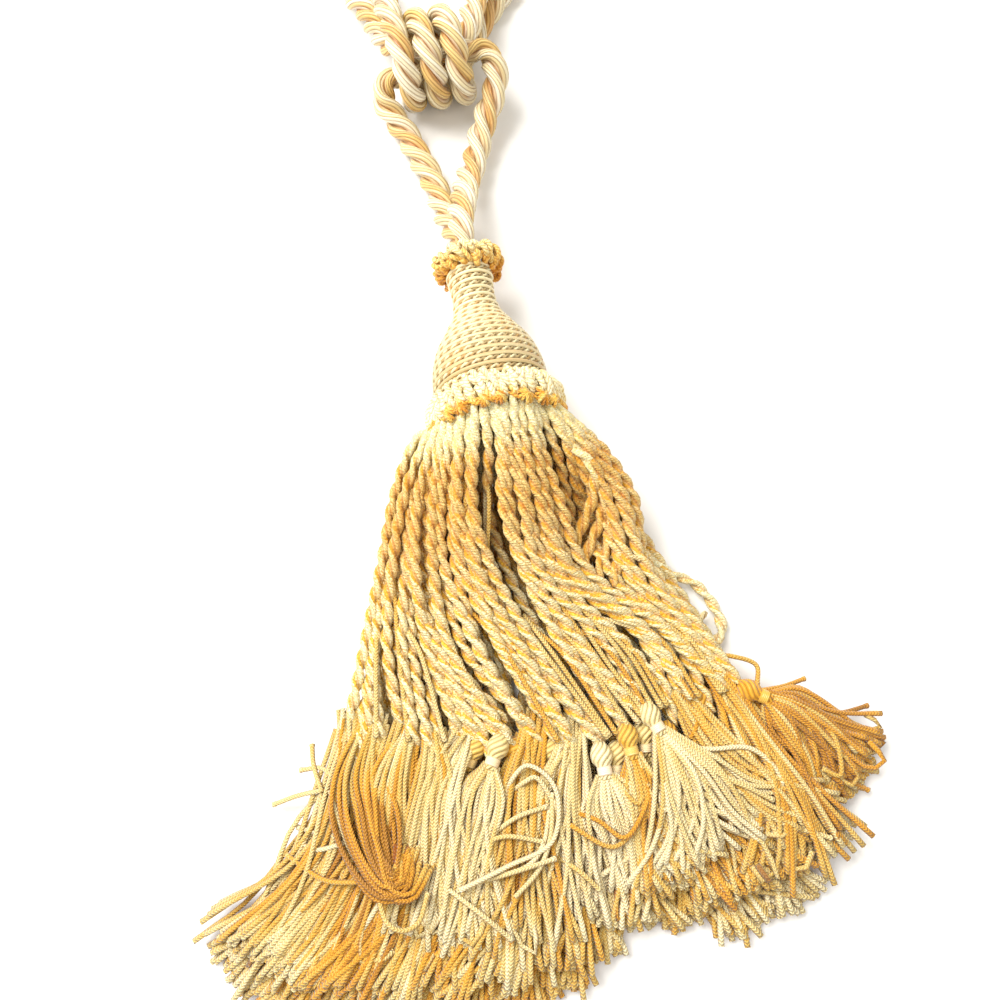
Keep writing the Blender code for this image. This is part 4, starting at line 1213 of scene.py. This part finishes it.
def plain_tails(knot, tip, bend, base, room, scatter):
    """Loose tails of a lower tassel, as many lines, from inside its binding to their cut ends."""
    heading = unit(tip - knot)
    side = to_left(heading)
    reach = np.linalg.norm(tip - knot) - TAIL_PAST
    lines = []
    for number in range(TAILS_EACH):
        place, long, bow, splay = strayed(number, TAILS_EACH, PLAIN_LOOSE, scatter)
        level = level_of(number, TAILS_EACH)
        if scatter.random() < PLAIN_LOOSE["far"]:
            splay *= FAR
        low = base + TAIL_FLOOR + level * PILE_HEIGHT
        start = knot + heading * TAIL_PAST
        start = start + side * (place * PLAIN_BOUND[0]) + UP * ((level - 0.5) * PLAIN_BOUND[1])
        points = [start]
        for along, wide, bowed in PLAIN_STATIONS:
            shift = place * room * wide + bow * bowed + splay * along ** 2 + bend * math.sin(math.pi * along)
            shift += scatter.gauss(0, PLAIN_WAVER)
            point = knot + heading * (TAIL_PAST + reach * long * along) + side * shift
            point[2] = start[2] + (low - start[2]) * min(along * PLAIN_FALL, 1.0)
            points.append(point)
        lines.append(smooth_run(points, count=PLAIN_POINTS))
    return lines


def top_tails(knot, tassel, scatter):
    """Tails of a tassel on top of the pile, which follow the tassel's own route."""
    heading = unit(np.array(tassel.route[0]) - knot)
    if tassel.knot:
        start, narrow = knot + heading * TAIL_PAST, BOUND_WIDTH
    else:
        start, narrow = knot - heading - UP * HIDDEN_DEPTH, HIDDEN_WIDTH
    route = np.array([start, *tassel.route])
    halves = (narrow, *tassel.wide)
    ahead = unit(np.gradient(route, axis=0) * FLAT)
    shares = np.linspace(0.0, 1.0, len(route))
    lines = []
    for number in range(tassel.tails):
        place, long, bow, splay = strayed(number, tassel.tails, TOP_LOOSE, scatter)
        level = level_of(number, tassel.tails) * 2 - 1
        crossing = scatter.uniform(-CROSSING, CROSSING)
        if scatter.random() < TOP_LOOSE["far"]:
            splay *= FAR
        if not tassel.knot:
            start_shift = scatter.uniform(*HIDDEN_SHIFT)
        points = []
        for index, share in enumerate(shares):
            turn = math.radians(tassel.fan_deg * place * share)
            away = (route[index] - start) * (1 + (long - 1) * share)
            away = np.array((away[0] * math.cos(turn) - away[1] * math.sin(turn),
                             away[0] * math.sin(turn) + away[1] * math.cos(turn), away[2]))
            across = to_left(ahead[index])
            shift = (place + crossing * share) * halves[index] + splay * share ** 3
            shift += bow * math.sin(share * math.pi * TOP_BOW_WAVES) + scatter.gauss(0, TOP_WAVER)
            point = start + away + across * shift + UP * (level * TOP_CROWN[index])
            if index == 0 and not tassel.knot:
                point = point + heading * start_shift + across * scatter.gauss(0, HIDDEN_ASIDE)
            points.append(point)
        if scatter.random() < tassel.curl:
            aside = across * scatter.choice((-1, 1)) * scatter.uniform(*CURL_ASIDE)
            back = unit(points[-2] - points[-1]) * scatter.uniform(*CURL_BACK) * FLAT
            points.append(points[-1] - back * 0.1 + aside + UP * CURL_RISE[0])
            points.append(points[-1] + back + aside * 0.6 + UP * CURL_RISE[1])
        lines.append(smooth_run(points, count=3 * len(route) + 3))
    return lines


def add_tails(bundle, lines, tone, scatter):
    """Tails with cut ends, all of one tone or of several along them."""
    lines = np.array(lines)
    count, sections = lines.shape[:2]
    tone = np.atleast_1d(tone)
    along = np.interp(np.linspace(0.0, 1.0, sections), np.linspace(0.0, 1.0, len(tone)), tone)
    tones = along + np.array([scatter.gauss(0, TONE_LOOSE) for _ in range(count)])[:, None]
    tones[:, -2:] -= TIP_PALER
    reach = np.full((count, sections, 1), TAIL_RADIUS)
    reach[:, -2:] *= FRAY
    bundle.add(lines, spread_angles(TAIL_CORNERS), reach, tones, flat=TAIL_FLAT)


def add_cords(bundle, lines, tones, scatter):
    """Bullion cords: round and full where they leave the collar, then two plies that twist."""
    lines = np.array(lines)
    angles = spread_angles(CORD_CORNERS)
    gone = distance_along(lines)
    shift = np.array([scatter.uniform(*FULL_SHIFT) for _ in lines])[:, None]
    full = np.interp(gone + shift, *FULL_FROM_COLLAR) * np.interp(gone[:, -1:] - gone, *FULL_TO_END)
    plied = np.clip((gone + shift) / PLIES_BY, LEAST_PLIES, 1.0)[:, :, None]
    outline = ROUND_REACH + (two_ply_outline(angles, PLY_APART) - ROUND_REACH) * plied
    phases = np.array([scatter.uniform(0, math.pi) for _ in lines])[:, None]
    lays = np.array([CORD_LAY * scatter.uniform(*LAY_VARIES) for _ in lines])[:, None]
    bundle.add(lines, angles, outline * full[:, :, None] * CORD_RADIUS, tones,
               turn=gone * (2 * math.pi / lays) + phases)


def dipped(place, line):
    """A top cord's line, whose end sinks in under the tails unless its ball knot lies in sight."""
    if place >= GATHERED_FROM or (place == int(place) and TOP_TASSELS[int(place)].knot):
        return line
    gone = distance_along(line[None])[0]
    return line - UP * np.interp(gone[-1] - gone, *CORD_DIP)[:, None]


class Skirt:
    """The skirt's bundles of strands, which its rows are laid into one after another."""

    def __init__(self, scatter):
        self.scatter = scatter
        self.cords = {name: Bundle() for name in ("under", "upper")}
        self.tails = {name: Bundle() for name in ("under", "middle", "top")}
        self.knots, self.bands, self.singles = Bundle(), Bundle(), Bundle()

    def bind(self, knot, heading, tone):
        """A ball knot at a cord's end, and the satin binding after it."""
        angles = spread_angles(KNOT_CORNERS)
        ball = knot + heading * KNOT_PROFILE[:, :1]
        self.knots.add(ball[None], angles, KNOT_PROFILE[None, :, 1:], tone, flat=KNOT_FLAT)
        band = knot + heading * np.linspace(*BAND_PAST, 6)[:, None]
        self.bands.add(band[None], angles, BAND_RADIUS, tone)

    def lay_under_row(self):
        lines = []
        for number in range(UNDER_CORDS):
            line, tip, bend = under_cord(number / (UNDER_CORDS - 1), self.scatter)
            lines.append(line)
            if number % 2:
                continue
            knot, tone = line[-1], UNDER_TONES[number // 2]
            self.bind(knot, unit(tip - knot), tone)
            strands = plain_tails(knot, tip, bend, 0.0, UNDER_ROOM, self.scatter)
            add_tails(self.tails["under"], strands, tone, self.scatter)
        add_cords(self.cords["under"], lines, [UNDER_CORD_TONE] * len(lines), self.scatter)

    def lay_middle_row(self):
        numbers = range(len(MIDDLE_ROW["places"]))
        lines = [guided_cord(MIDDLE_ROW, number, self.scatter) for number in numbers]
        tones = [self.scatter.uniform(*MIDDLE_CORD_TONES) for _ in lines]
        add_cords(self.cords["upper"], lines, tones, self.scatter)
        for number, tone in enumerate(MIDDLE_TONES):
            place = number + 0.5
            off = [self.scatter.uniform(*limits) for limits in MIDDLE_OFF]
            knot = guide_stations(place)[-1] + (*off, -MIDDLE_SINK)
            tip_x, tip_y, bend = fan_at(place / LAST_PLACE)[2:]
            tip = np.array((tip_x, tip_y, knot[2] - MIDDLE_FALL))
            tip = tip + unit(knot - tip) * MIDDLE_SHORT
            self.bind(knot, unit(tip - knot), tone)
            strands = plain_tails(knot, tip, bend, MIDDLE_BASE, MIDDLE_ROOM, self.scatter)
            add_tails(self.tails["middle"], strands, tone, self.scatter)

    def lay_top_row(self):
        places = TOP_ROW["places"]
        lines = [guided_cord(TOP_ROW, number, self.scatter) for number in range(len(places))]
        tones = [self.scatter.uniform(*TOP_CORD_TONES) + DEEPER_BY * max(0.0, place - DEEPER_FROM)
                 for place in places]
        add_cords(self.cords["upper"], [dipped(*pair) for pair in zip(places, lines)], tones, self.scatter)
        for place, tassel in enumerate(TOP_TASSELS):
            knot = lines[places.index(place)][-1] if place in places else guide_stations(float(place))[-1]
            if tassel.knot:
                self.bind(knot, unit(np.array(tassel.route[0]) - knot), tassel.tone)
            add_tails(self.tails["top"], top_tails(knot, tassel, self.scatter), tassel.tone, self.scatter)

    def lay_curled_cords(self):
        lines = [smooth_run(route, count=CORD_SECTIONS // 2) for route in (STRAY_CORD, *INNER_CORDS)]
        add_cords(self.cords["upper"], lines, CURLED_TONES, self.scatter)

    def lay_loose_tails(self):
        for tone, route in LOOSE_TAILS + INNER_STRANDS:
            route = np.array(route)
            if route[0, 2] >= HIDDEN_FROM:
                route[0, 2] -= SINGLE_DEPTH
            for point in route[1:-1]:
                point += (self.scatter.gauss(0, SINGLE_LOOSE), self.scatter.gauss(0, SINGLE_LOOSE), 0.0)
            add_tails(self.singles, [smooth_run(route, count=9 * len(route))], tone, self.scatter)

    def lay_groove_tails(self):
        """Single tails that lie in the grooves between the top cords, and a few side by side."""
        for place, beside in GROOVE_TAILS:
            for number in range(beside):
                stations = drifted(place + (number - (beside - 1) / 2) * GROOVE_STEP)[1]
                first = stations[1] + (stations[2] - stations[1]) * self.scatter.uniform(*GROOVE_START)
                stations = np.array([first - UP * GROOVE_DEPTH, *stations[3:]])
                stations[1:, 2] += GROOVE_RAISE
                stations[:, 0] += [self.scatter.gauss(0, GROOVE_LOOSE) for _ in stations]
                tone = self.scatter.uniform(*GROOVE_TONES)
                add_tails(self.singles, [smooth_run(stations, count=GROOVE_POINTS)], tone, self.scatter)

    def make(self):
        fringe = bullion_finish()
        # The tails' yarn has painted shade on the sides and underside of each strand.
        tail_yarn = chainette_finish("chainette_tails", TAIL_SHADES, 0.95, painted_side_shade=0.9)
        pieces = [bundle.make("cords_" + name, fringe) for name, bundle in self.cords.items()]
        pieces += [
            self.knots.make("cord_knots", knot_finish()),
            self.bands.make("knot_bands", band_finish()),
            self.singles.make("loose_tails", tail_yarn),
        ]
        pieces += [bundle.make("tails_" + name, tail_yarn) for name, bundle in self.tails.items()]
        for piece in pieces:
            settle_piece(piece, "skirt_fringe")


def make_skirt(scatter):
    skirt = Skirt(scatter)
    skirt.lay_under_row()
    skirt.lay_middle_row()
    skirt.lay_top_row()
    skirt.lay_curled_cords()
    skirt.lay_loose_tails()
    skirt.lay_groove_tails()
    skirt.make()


# ---- floor ----

FLOOR_SIZE = 3.0
FLOOR_COLOUR = (0.88, 0.88, 0.88, 1.0)


def make_floor():
    bm = bmesh.new()
    bmesh.ops.create_grid(bm, x_segments=1, y_segments=1, size=FLOOR_SIZE)
    finish = Finish("pale_floor", 0.9)
    finish.feed(finish.shader, {"Base Color": FLOOR_COLOUR})
    put_solid("floor", bm, finish.material)


SEED = 7

place_camera()
make_rope()
make_head()
scatter = random.Random(SEED)
make_gimps(scatter)
make_stitches(scatter)
make_skirt(scatter)
make_floor()
light_studio()
